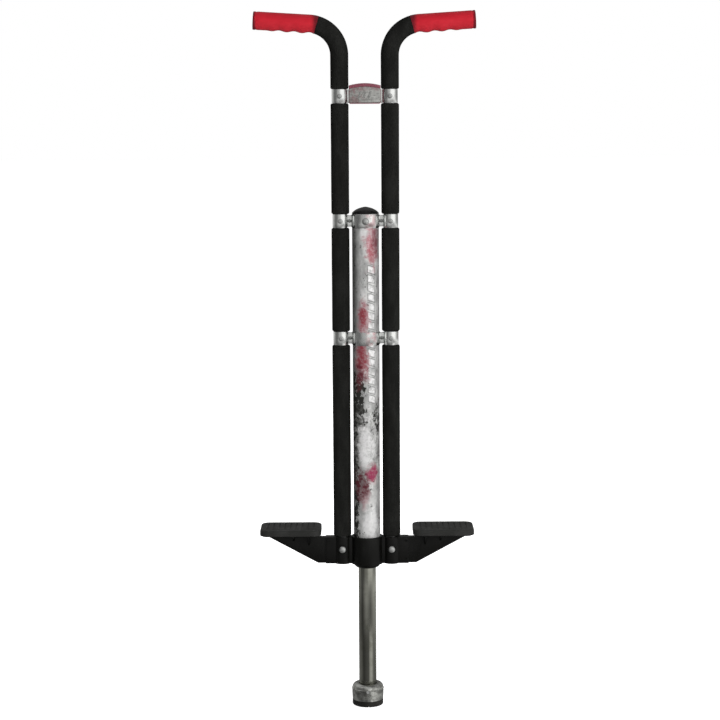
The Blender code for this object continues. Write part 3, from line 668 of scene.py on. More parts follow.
        for splash in self.splashes:
            inputs = {
                "Print": paper,
                "Angle": angle,
                "Height": height,
                "Centre angle": splash.angle,
                "Centre height": splash.height,
                "Half angle": splash.half_angle,
                "Half height": splash.half_height,
            }
            mask = desk.effect(Effects.splash(), inputs).outputs["Mask"]
            colour = desk.blend(desk.math("MULTIPLY", mask, splash.strength), colour, splash.colour)

        inked = desk.math("MAXIMUM", ink, edge)
        fine = desk.noise(desk.stretched(paper, (1.0, 1.0, 0.12)), 260.0, 3.0, 0.6)
        desk.feed(shader.inputs["Base Color"], colour)
        desk.feed(shader.inputs["Metallic"], desk.band(inked, 0.0, 1.0, self.metallic, 0.05))
        desk.feed(shader.inputs["Roughness"], desk.band(fine, 0.3, 0.7, self.roughness + 0.08, self.roughness))
        shader.inputs["Specular IOR Level"].default_value = 0.14
        shader.inputs["Coat Weight"].default_value = 0.06
        shader.inputs["Coat Roughness"].default_value = 0.15
        desk.feed(shader.inputs["Normal"], desk.bump(inked, 0.00004, 0.5))


@dataclass(frozen=True)
class BadgePlate(Finish):
    """Silver badge plate: brushed across, with a pink fade to the left."""

    def dress(self, desk: NodeDesk, shader: bpy.types.Node, where: Socket) -> None:
        """Links the brushing and the fade."""
        brushed = desk.noise(desk.stretched(where, (40.0, 40.0, 1400.0)), 1.0, 3.0, 0.6)
        parts = desk.place("ShaderNodeSeparateXYZ", {"Vector": where}).outputs
        colour = desk.blend(desk.band(brushed, 0.3, 0.7), tuple(0.7 * c for c in self.colour), self.colour)
        patch = desk.band(desk.noise(where, 160.0, 4.0, 0.7), 0.4, 0.62)
        side = desk.band(parts["X"], 0.008, -0.02)
        fade = desk.math("MULTIPLY", desk.math("MAXIMUM", side, desk.band(parts["Z"], 0.887, 0.893)), patch)
        colour = desk.blend(desk.math("MULTIPLY", fade, 0.7), colour, PINK)
        stain = desk.band(desk.noise(where, 300.0, 4.0, 0.7), 0.48, 0.62)
        colour = desk.blend(desk.math("MULTIPLY", stain, 0.5), colour, (0.20, 0.20, 0.19))
        desk.feed(shader.inputs["Base Color"], colour)
        desk.feed(shader.inputs["Roughness"], desk.band(brushed, 0.3, 0.7, self.roughness + 0.12, self.roughness))
        desk.feed(shader.inputs["Normal"], desk.bump(brushed, 0.00003, 0.4))


@dataclass(frozen=True)
class Finishes:
    """Every finish on the stick."""

    bar: Plated = Plated("bar_plating", "bar_chrome", (0.80, 0.81, 0.82), 0.08, 1.0)
    clamp: ClampPlating = ClampPlating("clamp_plating", "clamp_chrome", (0.88, 0.89, 0.88), 0.18, 1.0, wear=0.7)
    shaft: Plated = Plated(
        "shaft_plating",
        "shaft_chrome",
        (0.30, 0.30, 0.265),
        0.10,
        1.0,
        smudge_colour=(0.20, 0.20, 0.165),
        wear=0.6,
        ripple=0.0003,
    )
    zinc: Plated = Plated("bright_zinc", "fastener_zinc", (0.62, 0.63, 0.62), 0.36, 1.0, wear=0.8)
    spring: Plated = Plated(
        "oiled_spring_steel", "spring_steel", (0.16, 0.16, 0.17), 0.32, 1.0, smudge_colour=(0.08, 0.07, 0.05)
    )
    foam: Foam = Foam("black_foam", "foam", (0.0092, 0.0093, 0.0086), 0.9, specular=0.04)
    grip: GripRubber = GripRubber(
        "red_grip_rubber",
        "grip_rubber",
        (0.38, 0.010, 0.019),
        0.50,
        specular=0.18,
        worn_colour=(0.45, 0.015, 0.027),
        grain_scale=1800.0,
    )
    hub: Moulded = Moulded(
        "black_moulding",
        "black_plastic",
        (0.0020, 0.0020, 0.0017),
        0.36,
        specular=0.20,
        worn_colour=(0.0032, 0.0032, 0.0028),
    )
    dome: Moulded = Moulded(
        "black_gloss_plastic",
        "black_plastic",
        (0.004, 0.004, 0.004),
        0.34,
        specular=0.25,
        worn_colour=(0.007, 0.007, 0.007),
    )
    tread: Moulded = Moulded(
        "ribbed_rubber",
        "tread_rubber",
        (0.017, 0.017, 0.016),
        0.55,
        specular=0.14,
        worn_colour=(0.028, 0.028, 0.027),
        grain_scale=1500.0,
    )
    tip: Moulded = Moulded(
        "sole_rubber",
        "tip_rubber",
        (0.006, 0.006, 0.005),
        0.62,
        specular=0.3,
        worn_colour=(0.018, 0.017, 0.015),
    )
    bumper: Moulded = Moulded("buffer_rubber", "bumper_rubber", (0.012, 0.012, 0.012), 0.7)
    nylon: Moulded = Moulded(
        "natural_nylon",
        "nylon",
        (0.70, 0.68, 0.60),
        0.42,
        worn_colour=(0.62, 0.59, 0.50),
        grain_depth=0.00002,
    )
    badge: Moulded = Moulded(
        "badge_red",
        "badge_plastic",
        (0.135, 0.034, 0.050),
        0.40,
        specular=0.3,
        worn_colour=(0.24, 0.09, 0.11),
        grain_depth=0.00001,
    )
    slash: Plated = Plated("badge_slash_grey", "badge_metal", (0.30, 0.30, 0.29), 0.3, 0.8, wear=0.6)
    plate: BadgePlate = BadgePlate("badge_silver", "badge_metal", (0.62, 0.62, 0.60), 0.26, 1.0)
    ferrule: CastGrey = CastGrey("ferrule_grey", "ferrule_metal", (0.57, 0.575, 0.545), 0.20, 1.0)
    wrap: PrintedWrap = PrintedWrap("printed_wrap", "printed_housing", (0.66, 0.66, 0.65), 0.30, 0.45)
    dark_zinc: Plated = Plated("dull_zinc", "fastener_zinc", (0.30, 0.31, 0.30), 0.34, 1.0, wear=0.8)


FINISH = Finishes()


# Modelling


class Blank:
    """A mesh being shaped with bmesh operators."""

    def __init__(self) -> None:
        """Starts empty."""
        self.bm = bmesh.new()

    def clean(self) -> Blank:
        """Merges doubles and points the faces outwards."""
        bmesh.ops.remove_doubles(self.bm, verts=self.bm.verts, dist=1e-6)
        bmesh.ops.recalc_face_normals(self.bm, faces=self.bm.faces)
        return self

    def turn(self, profile: Profile, steps: int = 64, ring: bool = False) -> Blank:
        """Turns a profile about Z.

        Args:
            profile: Radius and height of each point.
            steps: Faces round the turn.
            ring: True if the profile closes on itself, and False if it starts and ends on the axis.

        Returns:
            This blank.
        """
        verts = [self.bm.verts.new((r, 0, z)) for r, z in profile]
        edges = [self.bm.edges.new(pair) for pair in zip(verts, verts[1:])]
        if ring:
            edges.append(self.bm.edges.new((verts[-1], verts[0])))
        bmesh.ops.spin(
            self.bm,
            geom=verts + edges,
            cent=(0, 0, 0),
            axis=(0, 0, 1),
            angle=2 * math.pi,
            steps=steps,
            use_merge=True,
        )
        return self.clean()

    def plate(self, corners: Iterable[Sequence[float]], step: Sequence[float]) -> list[bmesh.types.BMFace]:
        """Makes a slab.

        Args:
            corners: Its outline, in order.
            step: How far and which way the outline is extruded.

        Returns:
            The faces at the far end.
        """
        face = self.bm.faces.new([self.bm.verts.new(corner) for corner in corners])
        return self.push([face], step)

    def push(self, faces: list[bmesh.types.BMFace], step: Sequence[float], cuts: int = 1) -> list[bmesh.types.BMFace]:
        """Extrudes faces along a straight step, in one or more lengths, and returns the end faces."""
        for _ in range(cuts):
            edges = list(dict.fromkeys(edge for face in faces for edge in face.edges))
            grown = bmesh.ops.extrude_face_region(self.bm, geom=faces + edges)["geom"]
            verts = [g for g in grown if isinstance(g, bmesh.types.BMVert)]
            bmesh.ops.translate(self.bm, verts=verts, vec=Vector(step) / cuts)
            faces = [g for g in grown if isinstance(g, bmesh.types.BMFace)]
        return faces

    def round_edges(
        self,
        width: float,
        segments: int = 3,
        sharper_than: float = 30.0,
        where: Callable[[Vector], bool] | None = None,
        limited: bool = True,
    ) -> Blank:
        """Rounds edges.

        Args:
            width: Width of the rounding.
            segments: Its number of faces.
            sharper_than: Smallest angle between an edge's faces, in degrees.
            where: Tells from an edge's middle whether it is rounded.
            limited: Whether short neighbours narrow the rounding.

        Returns:
            This blank.
        """
        limit = math.radians(sharper_than)
        chosen = [
            edge
            for edge in self.bm.edges
            if edge.is_manifold
            and edge.calc_face_angle(0.0) > limit
            and (where is None or where((edge.verts[0].co + edge.verts[1].co) / 2))
        ]
        return self.bevel(chosen, width, segments, limited)

    def bevel(self, edges: list[bmesh.types.BMEdge], width: float, segments: int, limited: bool = True) -> Blank:
        """Rounds the given edges."""
        bmesh.ops.bevel(
            self.bm,
            geom=edges,
            offset=width,
            offset_type="OFFSET",
            segments=segments,
            profile=0.5,
            affect="EDGES",
            clamp_overlap=limited,
            material=-1,
        )
        return self

    def shift(self, offset: Sequence[float]) -> Blank:
        """Moves everything."""
        bmesh.ops.translate(self.bm, verts=self.bm.verts, vec=offset)
        return self

    def rotate(self, angle: float, axis: str) -> Blank:
        """Turns everything about an axis through the origin, by an angle in radians."""
        bmesh.ops.rotate(self.bm, verts=self.bm.verts, cent=(0, 0, 0), matrix=Matrix.Rotation(angle, 3, axis))
        return self

    def lay(self, face: Face) -> Blank:
        """Turns a shape built up Z so that its top points to the front or the rear."""
        return self.rotate(-face.value * math.pi / 2, "X")

    def tool(self) -> bpy.types.Object:
        """Makes an object that will cut or join."""
        mesh = bpy.data.meshes.new("tool")
        self.clean().bm.to_mesh(mesh)
        self.bm.free()
        made = bpy.data.objects.new("tool", mesh)
        bpy.context.scene.collection.objects.link(made)
        return made

    def piece(self, name: str, finish: Finish) -> bpy.types.Object:
        """Makes the finished object, smooth-shaded up to its sharp edges."""
        made = self.tool()
        made.name = made.data.name = name
        made.data.materials.append(finish.material())
        shade(made)
        return made


def shade(piece: bpy.types.Object, sharp: float = 38.0) -> None:
    """Smooths a piece up to an angle in degrees."""
    piece.data.shade_smooth()
    piece.data.set_sharp_from_angle(angle=math.radians(sharp))


def work(piece: bpy.types.Object, cut: Cut, tools: Sequence[bpy.types.Object]) -> bpy.types.Object:
    """Adds tools to a piece or removes them from it in one go, and deletes the tools."""
    box = bpy.data.collections.new("tools")
    for tool in tools:
        box.objects.link(tool)
    modifier = piece.modifiers.new("tools", "BOOLEAN")
    modifier.operation = cut.value
    modifier.operand_type = "COLLECTION"
    modifier.collection = box
    modifier.solver = "EXACT"
    settle(piece)
    for tool in tools:
        bpy.data.objects.remove(tool)
    bpy.data.collections.remove(box)
    blank = Blank()
    blank.bm.from_mesh(piece.data)
    slits = [edge for edge in blank.bm.edges if edge.is_boundary]
    if slits:
        bmesh.ops.holes_fill(blank.bm, edges=slits, sides=4)
        blank.bm.to_mesh(piece.data)
    blank.bm.free()
    return piece


def settle(piece: bpy.types.Object) -> None:
    """Applies a piece's modifiers to its mesh."""
    view = bpy.context.evaluated_depsgraph_get()
    mesh = bpy.data.meshes.new_from_object(piece.evaluated_get(view))
    piece.modifiers.clear()
    piece.data = mesh


def soften(piece: bpy.types.Object, width: float, segments: int = 2, sharper_than: float = 35.0) -> None:
    """Rounds a piece's sharp edges with a Bevel modifier and applies it."""
    modifier = piece.modifiers.new("soft_edges", "BEVEL")
    modifier.width = width
    modifier.segments = segments
    modifier.limit_method = "ANGLE"
    modifier.angle_limit = math.radians(sharper_than)
    modifier.miter_outer = "MITER_ARC"
    settle(piece)
    shade(piece)


def ride(piece: bpy.types.Object, body: Body, *nodes: str) -> bpy.types.Object:
    """Puts a piece on its body and lets it stand for CAD nodes."""
    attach(piece, body.value)
    if nodes:
        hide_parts(*nodes)
    log.info("%s rides on %s with %d faces", piece.name, body.value, len(piece.data.polygons))
    return piece


def cylinder(radius: float, low: float, high: float, steps: int = 48) -> Blank:
    """A solid cylinder about Z."""
    return Blank().turn([(0, low), (radius, low), (radius, high), (0, high)], steps)


def pipe(outer: float, inner: float, low: float, high: float, steps: int = 64) -> Blank:
    """A tube about Z."""
    return Blank().turn([(inner, low), (outer, low), (outer, high), (inner, high)], steps, ring=True)


@dataclass(frozen=True)
class BarPath:
    """Centre line of one handlebar tube: up, round a bend, and out along a handle that climbs a little."""

    side: Side
    spacing: float = 35.5 * MM
    bend_start: float = 938.5 * MM
    bend_radius: float = 44 * MM
    rise: float = math.radians(3.6)
    sides: int = 48

    @property
    def full_bend(self) -> float:
        """Angle of the whole bend."""
        return math.pi / 2 - self.rise

    @property
    def outward(self) -> Vector:
        """Direction of the handle."""
        return Vector((self.side.value * math.cos(self.rise), 0, math.sin(self.rise)))

    def point(self, angle: float) -> Vector:
        """Centre line after this much of the bend."""
        x = self.spacing + self.bend_radius * (1 - math.cos(angle))
        return Vector((self.side.value * x, 0, self.bend_start + self.bend_radius * math.sin(angle)))

    def handle_run(self, reach: float) -> float:
        """Length of the handle from the end of the bend to a distance out along X."""
        return (reach - abs(self.point(self.full_bend).x)) / math.cos(self.rise)

    def nearest(self, point: Vector) -> Vector:
        """Nearest point of the centre line."""
        if point.z < self.bend_start:
            return Vector((self.side.value * self.spacing, 0, point.z))
        inward = self.spacing + self.bend_radius - point.x * self.side.value
        angle = math.atan2(point.z - self.bend_start, inward)
        if angle < self.full_bend:
            return self.point(angle)
        end = self.point(self.full_bend)
        return end + self.outward * (point - end).dot(self.outward)

    def section(
        self, blank: Blank, radius: float, bore: float = 0.0, angle: float = 0.0, low: float | None = None
    ) -> list[bmesh.types.BMFace]:
        """A disc across the tube, or a flat ring if bore is given.

        Args:
            blank: Blank to build in.
            radius: Outer radius.
            bore: Inner radius.
            angle: Place along the bend.
            low: Height on the upright run instead.

        Returns:
            Its faces.
        """
        bm = blank.bm
        if bore:
            rims = [bmesh.ops.create_circle(bm, segments=self.sides, radius=r)["verts"] for r in (radius, bore)]
            following = [rim[1:] + rim[:1] for rim in rims]
            faces = [bm.faces.new(c) for c in zip(rims[0], following[0], following[1], rims[1])]
            verts = rims[0] + rims[1]
        else:
            verts = bmesh.ops.create_circle(bm, segments=self.sides, radius=radius, cap_ends=True)["verts"]
            faces = list(dict.fromkeys(face for vert in verts for face in vert.link_faces))
        turn = Matrix.Rotation(self.side.value * angle, 3, "Y")
        bmesh.ops.rotate(bm, verts=verts, cent=(0, 0, 0), matrix=turn)
        place = self.point(angle) if low is None else Vector((self.side.value * self.spacing, 0, low))
        bmesh.ops.translate(bm, verts=verts, vec=place)
        return faces

    def bend(self, blank: Blank, faces: list[bmesh.types.BMFace], angle: float, steps: int) -> list[bmesh.types.BMFace]:
        """Spins faces round the bend and returns the end faces."""
        edges = list(dict.fromkeys(edge for face in faces for edge in face.edges))
        grown = bmesh.ops.spin(
            blank.bm,
            geom=faces + edges,
            cent=(self.side.value * (self.spacing + self.bend_radius), 0, self.bend_start),
            axis=(0, 1, 0),
            angle=self.side.value * angle,
            steps=steps,
            use_merge=False,
        )["geom_last"]
        return [g for g in grown if isinstance(g, bmesh.types.BMFace)]


def outer_rim(faces: list[bmesh.types.BMFace]) -> list[bmesh.types.BMEdge]:
    """The outer edges of a ring or disc of faces."""
    group = set(faces)
    rim = (e for f in faces for e in f.edges if sum(1 for g in e.link_faces if g in group) == 1)
    edges = dict.fromkeys(rim)
    verts = dict.fromkeys(v for f in faces for v in f.verts)
    middle = sum((v.co for v in verts), Vector()) / len(verts)

    def reach(edge: bmesh.types.BMEdge) -> float:
        """Distance of an edge's middle from the ring's."""
        return ((edge.verts[0].co + edge.verts[1].co) / 2 - middle).length

    furthest = max(reach(edge) for edge in edges)
    return [edge for edge in edges if reach(edge) > furthest - 0.001]


@dataclass
class Handlebar:
    """One handlebar tube with its grip and foam sleeves."""

    side: Side
    tube_radius: float = 9.525 * MM
    wall: float = 1.2 * MM
    sleeve_radius: float = 12.8 * MM
    sleeve_bore: float = 9.8 * MM
    sleeve_rim: float = 2.6 * MM
    foot: float = 216.3 * MM
    grip_angle: float = math.radians(73.5)
    grip_gap: float = 0.04 * MM
    handle_reach: float = 151.5 * MM
    grip_end: float = 4.5 * MM
    finger_pitch: float = 21.5 * MM
    finger_depth: float = 1.0 * MM
    path: BarPath = field(init=False)

    def __post_init__(self) -> None:
        """Sets out the centre line."""
        self.path = BarPath(self.side)

    def build(self) -> None:
        """Builds the tube, the grip and the four sleeves."""
        name = self.side.label
        ride(self.tube(), Body.FRAME, f"{name}_handlebar")
        ride(self.grip(), Body.FRAME, f"{name}_grip")
        ride(self.bend_sleeve(), Body.FRAME, f"{name}_foam_bend")
        for level in ("lower", "middle", "upper"):
            low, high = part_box(f"{name}_foam_{level}")
            ride(self.sleeve(level, low.z, high.z), Body.FRAME, f"{name}_foam_{level}")

    def tube(self) -> bpy.types.Object:
        """The plated tube, from the footrest to inside the grip."""
        blank = Blank()
        faces = self.path.section(blank, self.tube_radius, self.tube_radius - self.wall, low=self.foot)
        faces = blank.push(faces, (0, 0, self.path.bend_start - self.foot))
        faces = self.path.bend(blank, faces, self.path.full_bend, 24)
        blank.push(faces, self.path.outward * self.path.handle_run(self.handle_reach))
        return blank.piece(f"bar_{self.side.label}", FINISH.bar)

    def press(self, blank: Blank, amount: float = 0.12 * MM) -> None:
        """Gives foam the slight unevenness of a sleeve that was pushed on."""
        for vert in blank.bm.verts:
            away = vert.co - self.path.nearest(vert.co)
            if away.length < (self.sleeve_bore + self.sleeve_radius) / 2:
                continue
            slow = noise.noise(vert.co * 38) + 0.5 * noise.noise(vert.co * 110)
            vert.co += away.normalized() * (slow - 0.6) * amount

    def sleeve(self, level: str, low: float, high: float) -> bpy.types.Object:
        """A straight foam sleeve between two heights."""
        blank = Blank()
        start = self.path.section(blank, self.sleeve_radius, self.sleeve_bore, low=low)
        end = blank.push(start, (0, 0, high - low), cuts=max(4, round((high - low) / (6 * MM))))
        start = [f for f in blank.bm.faces if abs(f.calc_center_median().z - low) < 1e-6]
        blank.bevel(outer_rim(start) + outer_rim(end), self.sleeve_rim, 6)
        self.press(blank)
        made = blank.piece(f"sleeve_{self.side.label}_{level}", FINISH.foam)
        return made

    def bend_sleeve(self) -> bpy.types.Object:
        """The foam sleeve from the top clamp round the bend to the grip."""
        blank = Blank()
        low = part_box(f"{self.side.label}_foam_bend")[0].z
        start = self.path.section(blank, self.sleeve_radius, self.sleeve_bore, low=low)
        faces = blank.push(start, (0, 0, self.path.bend_start - low), cuts=9)
        end = self.path.bend(blank, faces, self.grip_angle - self.grip_gap / self.path.bend_radius, 22)
        start = [f for f in blank.bm.faces if abs(f.calc_center_median().z - low) < 1e-6]
        blank.bevel(outer_rim(start), self.sleeve_rim, 6)
        blank.bevel(outer_rim(end), 0.8 * MM, 3)
        self.press(blank, 0.08 * MM)
        made = blank.piece(f"sleeve_{self.side.label}_bend", FINISH.foam)
        return made

    def grip(self) -> bpy.types.Object:
        """The rubber grip: closed end, a groove inside the outer rim, and finger hollows underneath."""
        path = self.path
        blank = Blank()
        faces = path.section(blank, self.sleeve_radius, angle=self.grip_angle)
        faces = path.bend(blank, faces, path.full_bend - self.grip_angle, 8)
        length = path.handle_run(self.handle_reach) + self.grip_end
        end = blank.push(faces, path.outward * length, cuts=80)
        blank.clean()
        end = [f for f in end if f.is_valid]
        blank.bevel(outer_rim(end), 2.4 * MM, 6)
        self.shape_fingers(blank, length)
        made = blank.piece(f"grip_{self.side.label}", FINISH.grip)
        bore = Blank()
        early = math.radians(3)
        faces = path.section(bore, self.sleeve_bore, angle=self.grip_angle - early)
        faces = path.bend(bore, faces, path.full_bend - self.grip_angle + early, 9)
        bore.push(faces, path.outward * (length - self.grip_end + 0.3 * MM))
        work(made, Cut.REMOVE, [bore.tool()])
        shade(made)
        return made

    def shape_fingers(self, blank: Blank, length: float) -> None:
        """Presses the finger hollows and a groove near the outer end into the grip.

        Args:
            blank: The grip before it is bored.
            length: Length of its straight run.
        """
        start = self.path.point(self.path.full_bend)
        for vert in blank.bm.verts:
            centre = self.path.nearest(vert.co)
            away = vert.co - centre
            if away.length < self.sleeve_radius - 1.5 * MM:
                continue
            from_end = length - (vert.co - start).dot(self.path.outward)
            under = max(0.0, -away.normalized().z)
            ridge = 0.5 + 0.5 * math.cos(2 * math.pi * (from_end - 26 * MM) / self.finger_pitch)
            window = smooth_step(from_end, 14 * MM, 34 * MM) * smooth_step(from_end, 98 * MM, 88 * MM)
            depth = (self.finger_depth * (1 - ridge) - 0.9 * MM * ridge) * under**1.3 * window
            depth += 0.7 * MM * max(0.0, 1 - abs(from_end - 4.4 * MM) / (1.2 * MM))
            vert.co -= away.normalized() * depth


def smooth_step(value: float, start: float, end: float) -> float:
    """A smooth rise from 0 to 1 as value goes from start to end."""
    share = min(1.0, max(0.0, (value - start) / (end - start)))
    return share * share * (3 - 2 * share)


@dataclass
class Clamp:
    """A front and a rear pressed strap round the tubes, with rivets at the tubes and screws in the webs."""

    level: str
    on_housing: bool
    spacing: float = 35.5 * MM
    thickness: float = 1.2 * MM
    bar_inner: float = 9.825 * MM
    housing_inner: float = 19.35 * MM
    seam: float = 0.15 * MM
    neck: float = 0.80
    web_middle: float = 22.6 * MM

    def build(self) -> None:
        """Builds both straps and their fasteners."""
        for face in Face:
            node = f"{self.level}_clamp_{face.label}"
            low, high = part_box(node)
            ride(self.strap(face, low.z, high.z), Body.FRAME, node)
            middle = (low.z + high.z) / 2
            for side in Side:
                node = f"{side.label}_{self.level}_rivet_{face.label}"
                ride(self.rivet(side, face, middle), Body.FRAME, node)
                if self.on_housing:
                    ride(self.web_screw(side, face, middle), Body.FRAME)

    def strap(self, face: Face, low: float, high: float) -> bpy.types.Object:
        """One pressed strap: spun round each tube in turn and extruded between them.

        Args:
            face: Front or rear.
            low: Its lower edge.
            high: Its upper edge.

        Returns:
            The strap.
        """
        blank = Blank()
        bm = blank.bm
        x = -self.spacing - self.bar_inner
        verts = [bm.verts.new((x, face.value * self.seam, z)) for z in (low, high)]
        edges = [bm.edges.new(verts)]
        corners = []
        stations = [(-self.spacing, self.bar_inner)]
        if self.on_housing:
            stations.append((0.0, self.housing_inner))
        stations.append((self.spacing, self.bar_inner))
        for number, (centre, radius) in enumerate(stations):
            dip = math.asin(self.seam / radius)
            turn = -face.value * (math.pi - 2 * dip)
            grown = bmesh.ops.spin(
                bm,
                geom=edges,
                cent=(centre, 0, 0),
                axis=(0, 0, 1),
                angle=turn,
                steps=round(28 * radius / self.bar_inner) if radius < 0.015 else 40,
                use_merge=False,
            )["geom_last"]
            edges = [g for g in grown if isinstance(g, bmesh.types.BMEdge)]
            if number == len(stations) - 1:
                break
            corners += edges
            after, wider = stations[number + 1]
            gap = (after - wider * math.cos(math.asin(self.seam / wider))) - edges[0].verts[0].co.x
            grown = bmesh.ops.extrude_edge_only(bm, edges=edges)["geom"]
            bmesh.ops.translate(bm, verts=[g for g in grown if isinstance(g, bmesh.types.BMVert)], vec=(gap, 0, 0))
            edges = [g for g in grown if isinstance(g, bmesh.types.BMEdge)]
            corners += edges
        blank.bevel([c for c in corners if c.is_valid], 1.7 * MM, 5)
        bmesh.ops.remove_doubles(bm, verts=bm.verts, dist=1e-6)
        bmesh.ops.recalc_face_normals(bm, faces=bm.faces)
        bm.normal_update()
        spot = Vector((-self.spacing, face.value * self.bar_inner, low))
        sample = min(bm.faces, key=lambda f: (f.calc_center_median() - spot).length)
        if sample.normal.y * face.value > 0:
            bmesh.ops.reverse_faces(bm, faces=bm.faces)
        bmesh.ops.solidify(bm, geom=bm.faces[:], thickness=self.thickness)
        bmesh.ops.recalc_face_normals(bm, faces=bm.faces)
        if self.on_housing:
            self.pinch(blank, (low + high) / 2)
        blank.round_edges(0.3 * MM, 2, 60, limited=False)
        return blank.piece(f"clamp_{self.level}_{face.label}", FINISH.clamp)

    def pinch(self, blank: Blank, middle: float) -> None:
        """Narrows the webs between the tubes and the housing."""
        for vert in blank.bm.verts:
            off = abs(abs(vert.co.x) - self.web_middle)
            share = 1 - smooth_step(off, 1.2 * MM, 5.0 * MM)
            vert.co.z = middle + (vert.co.z - middle) * (1 - share * (1 - self.neck))

    def rivet(self, side: Side, face: Face, height: float) -> bpy.types.Object:
        """A blind rivet with a domed head and a hollow in its middle."""
        seat = self.bar_inner + self.thickness
        profile = [(0, 7 * MM), (1.95 * MM, 7 * MM), (1.95 * MM, seat), (3.4 * MM, seat)]
        profile += [(3.35 * MM, seat + 0.35 * MM), (2.7 * MM, seat + 1.0 * MM), (1.6 * MM, seat + 1.3 * MM)]
        profile += [(1.1 * MM, seat + 1.3 * MM), (0.95 * MM, seat + 0.5 * MM), (0, seat + 0.5 * MM)]
        blank = Blank().turn(profile, 28).lay(face).shift((side.value * self.spacing, 0, height))
        return blank.piece(f"rivet_{self.level}_{side.label}_{face.label}", FINISH.zinc)

    def web_screw(self, side: Side, face: Face, height: float) -> bpy.types.Object:
        """A small pan-head screw that draws the two straps together."""
        seat = self.seam + self.thickness
        head = [(2.5 * MM, seat), (2.45 * MM, seat + 0.9 * MM), (1.7 * MM, seat + 1.5 * MM), (0, seat + 1.7 * MM)]
        blank = Blank().turn([(0, 0.2 * MM), (1.4 * MM, 0.2 * MM), (1.4 * MM, seat), *head], 24)
        blank.lay(face).shift((side.value * self.web_middle, 0, height))
        made = blank.piece(f"web_screw_{self.level}_{side.label}_{face.label}", FINISH.dark_zinc)
        if face is Face.FRONT:
            slots = [Blank(), Blank()]
            for number, slot in enumerate(slots):
                bmesh.ops.create_cube(slot.bm, size=1.0)
                long, short = 2.6 * MM, 0.55 * MM
                scale = (long, 1.4 * MM, short) if number else (short, 1.4 * MM, long)
                bmesh.ops.scale(slot.bm, verts=slot.bm.verts, vec=scale)
                slot.shift((side.value * self.web_middle, -(seat + 1.6 * MM), height))
            work(made, Cut.REMOVE, [slot.tool() for slot in slots])
            shade(made)
        return made


@dataclass
class Badge:
    """Moulded badge on the top clamp: a dusky red crest and foot line round a silver plate with slanted bars."""

    half_width: float = 22.4 * MM
    arch: float = 3.2 * MM
    crest: float = 4.6 * MM
    rim: float = 1.2 * MM
    side_rim: float = 0.25 * MM
    back: float = -1.45 * MM
    front: float = -4.65 * MM

    def outline(self, blank: Blank, side: float, foot: float, crest: float, y: float) -> bmesh.types.BMFace:
        """The badge's outline, or one inside it, as one face.

        Args:
            blank: Blank to build in.
            side: How far it lies inside the badge's sides.
            foot: How far it lies above the badge's foot.
            crest: How far it lies below the badge's top.
            y: Its place front to back.

        Returns:
            The face, with rounded lower corners and an arched top.
        """
        low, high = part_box("badge_body")
        half = self.half_width - side
        bottom, top = low.z + foot, high.z - self.arch - crest
        bm = blank.bm
        corners = [(-half, y, bottom), (half, y, bottom), (half, y, top), (-half, y, top)]
        face = bm.faces.new([bm.verts.new(c) for c in corners])
        upper = [e for e in face.edges if all(abs(v.co.z - top) < 1e-7 for v in e.verts)]
        bmesh.ops.subdivide_edges(bm, edges=upper, cuts=23)
        for vert in bm.verts:
            if abs(vert.co.z - top) < 1e-7:
                vert.co.z += self.arch * (1 - (vert.co.x / half) ** 2)
        lower = [v for v in bm.verts if abs(v.co.z - bottom) < 1e-7]
        bmesh.ops.bevel(
            bm, geom=lower, offset=2.4 * MM - side, segments=6, profile=0.5, affect="VERTICES", material=-1
        )
        return next(iter(bm.faces))

    def slab(self, side: float, foot: float, crest: float, start: float, thickness: float) -> Blank:
        """A slab with the badge's outline, from y = start towards the front."""
        blank = Blank()
        face = self.outline(blank, side, foot, crest, start)
        blank.push([face], (0, -thickness, 0))
        return blank.clean()

    def build(self) -> None:
        """Builds the moulding, its plate and the ornament."""
        ride(self.moulding(), Body.FRAME, "badge_body")
        ride(self.plate(), Body.FRAME, "badge_face")
        for number, x in enumerate((-7 * MM, 0.0, 7 * MM)):
            ride(self.slash(number, x), Body.FRAME)

    def moulding(self) -> bpy.types.Object:
        """The red moulding, dished for its plate."""
        blank = self.slab(0.0, 0.0, 0.0, self.back, self.back - self.front)
        blank.round_edges(0.6 * MM, 3, 50, lambda p: p.y < self.front + 0.1 * MM)
        made = blank.piece("badge_moulding", FINISH.badge)
        dish = self.slab(self.side_rim, self.rim, self.crest, self.front + 1.2 * MM, 3 * MM)
        work(made, Cut.REMOVE, [dish.tool()])
        shade(made)
        return made

    def plate(self) -> bpy.types.Object:
        """The silver plate in the dish."""
        gap = 0.12 * MM
        blank = self.slab(self.side_rim + gap, self.rim + gap, self.crest + gap, self.front + 1.15 * MM, 0.95 * MM)
        blank.round_edges(0.35 * MM, 3, 50, lambda p: p.y < self.front + 0.3 * MM)
        return blank.piece("badge_plate", FINISH.plate)

    def slash(self, number: int, x: float) -> bpy.types.Object:
        """One low slanted bar."""
        low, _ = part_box("badge_face")
        middle = low.z + 10.4 * MM
        half, lean, tall = 1.6 * MM, 1.6 * MM, 4.6 * MM
        y = self.front + 0.35 * MM
        corners = [(x - half - lean, y, middle - tall), (x + half - lean, y, middle - tall)]
        corners += [(x + half + lean, y, middle + tall), (x - half + lean, y, middle + tall)]
        blank = Blank()
        blank.plate(corners, (0, -0.32 * MM, 0))
        blank.clean().round_edges(0.12 * MM, 2, 50)
        return blank.piece(f"badge_slash_{number}", FINISH.slash)


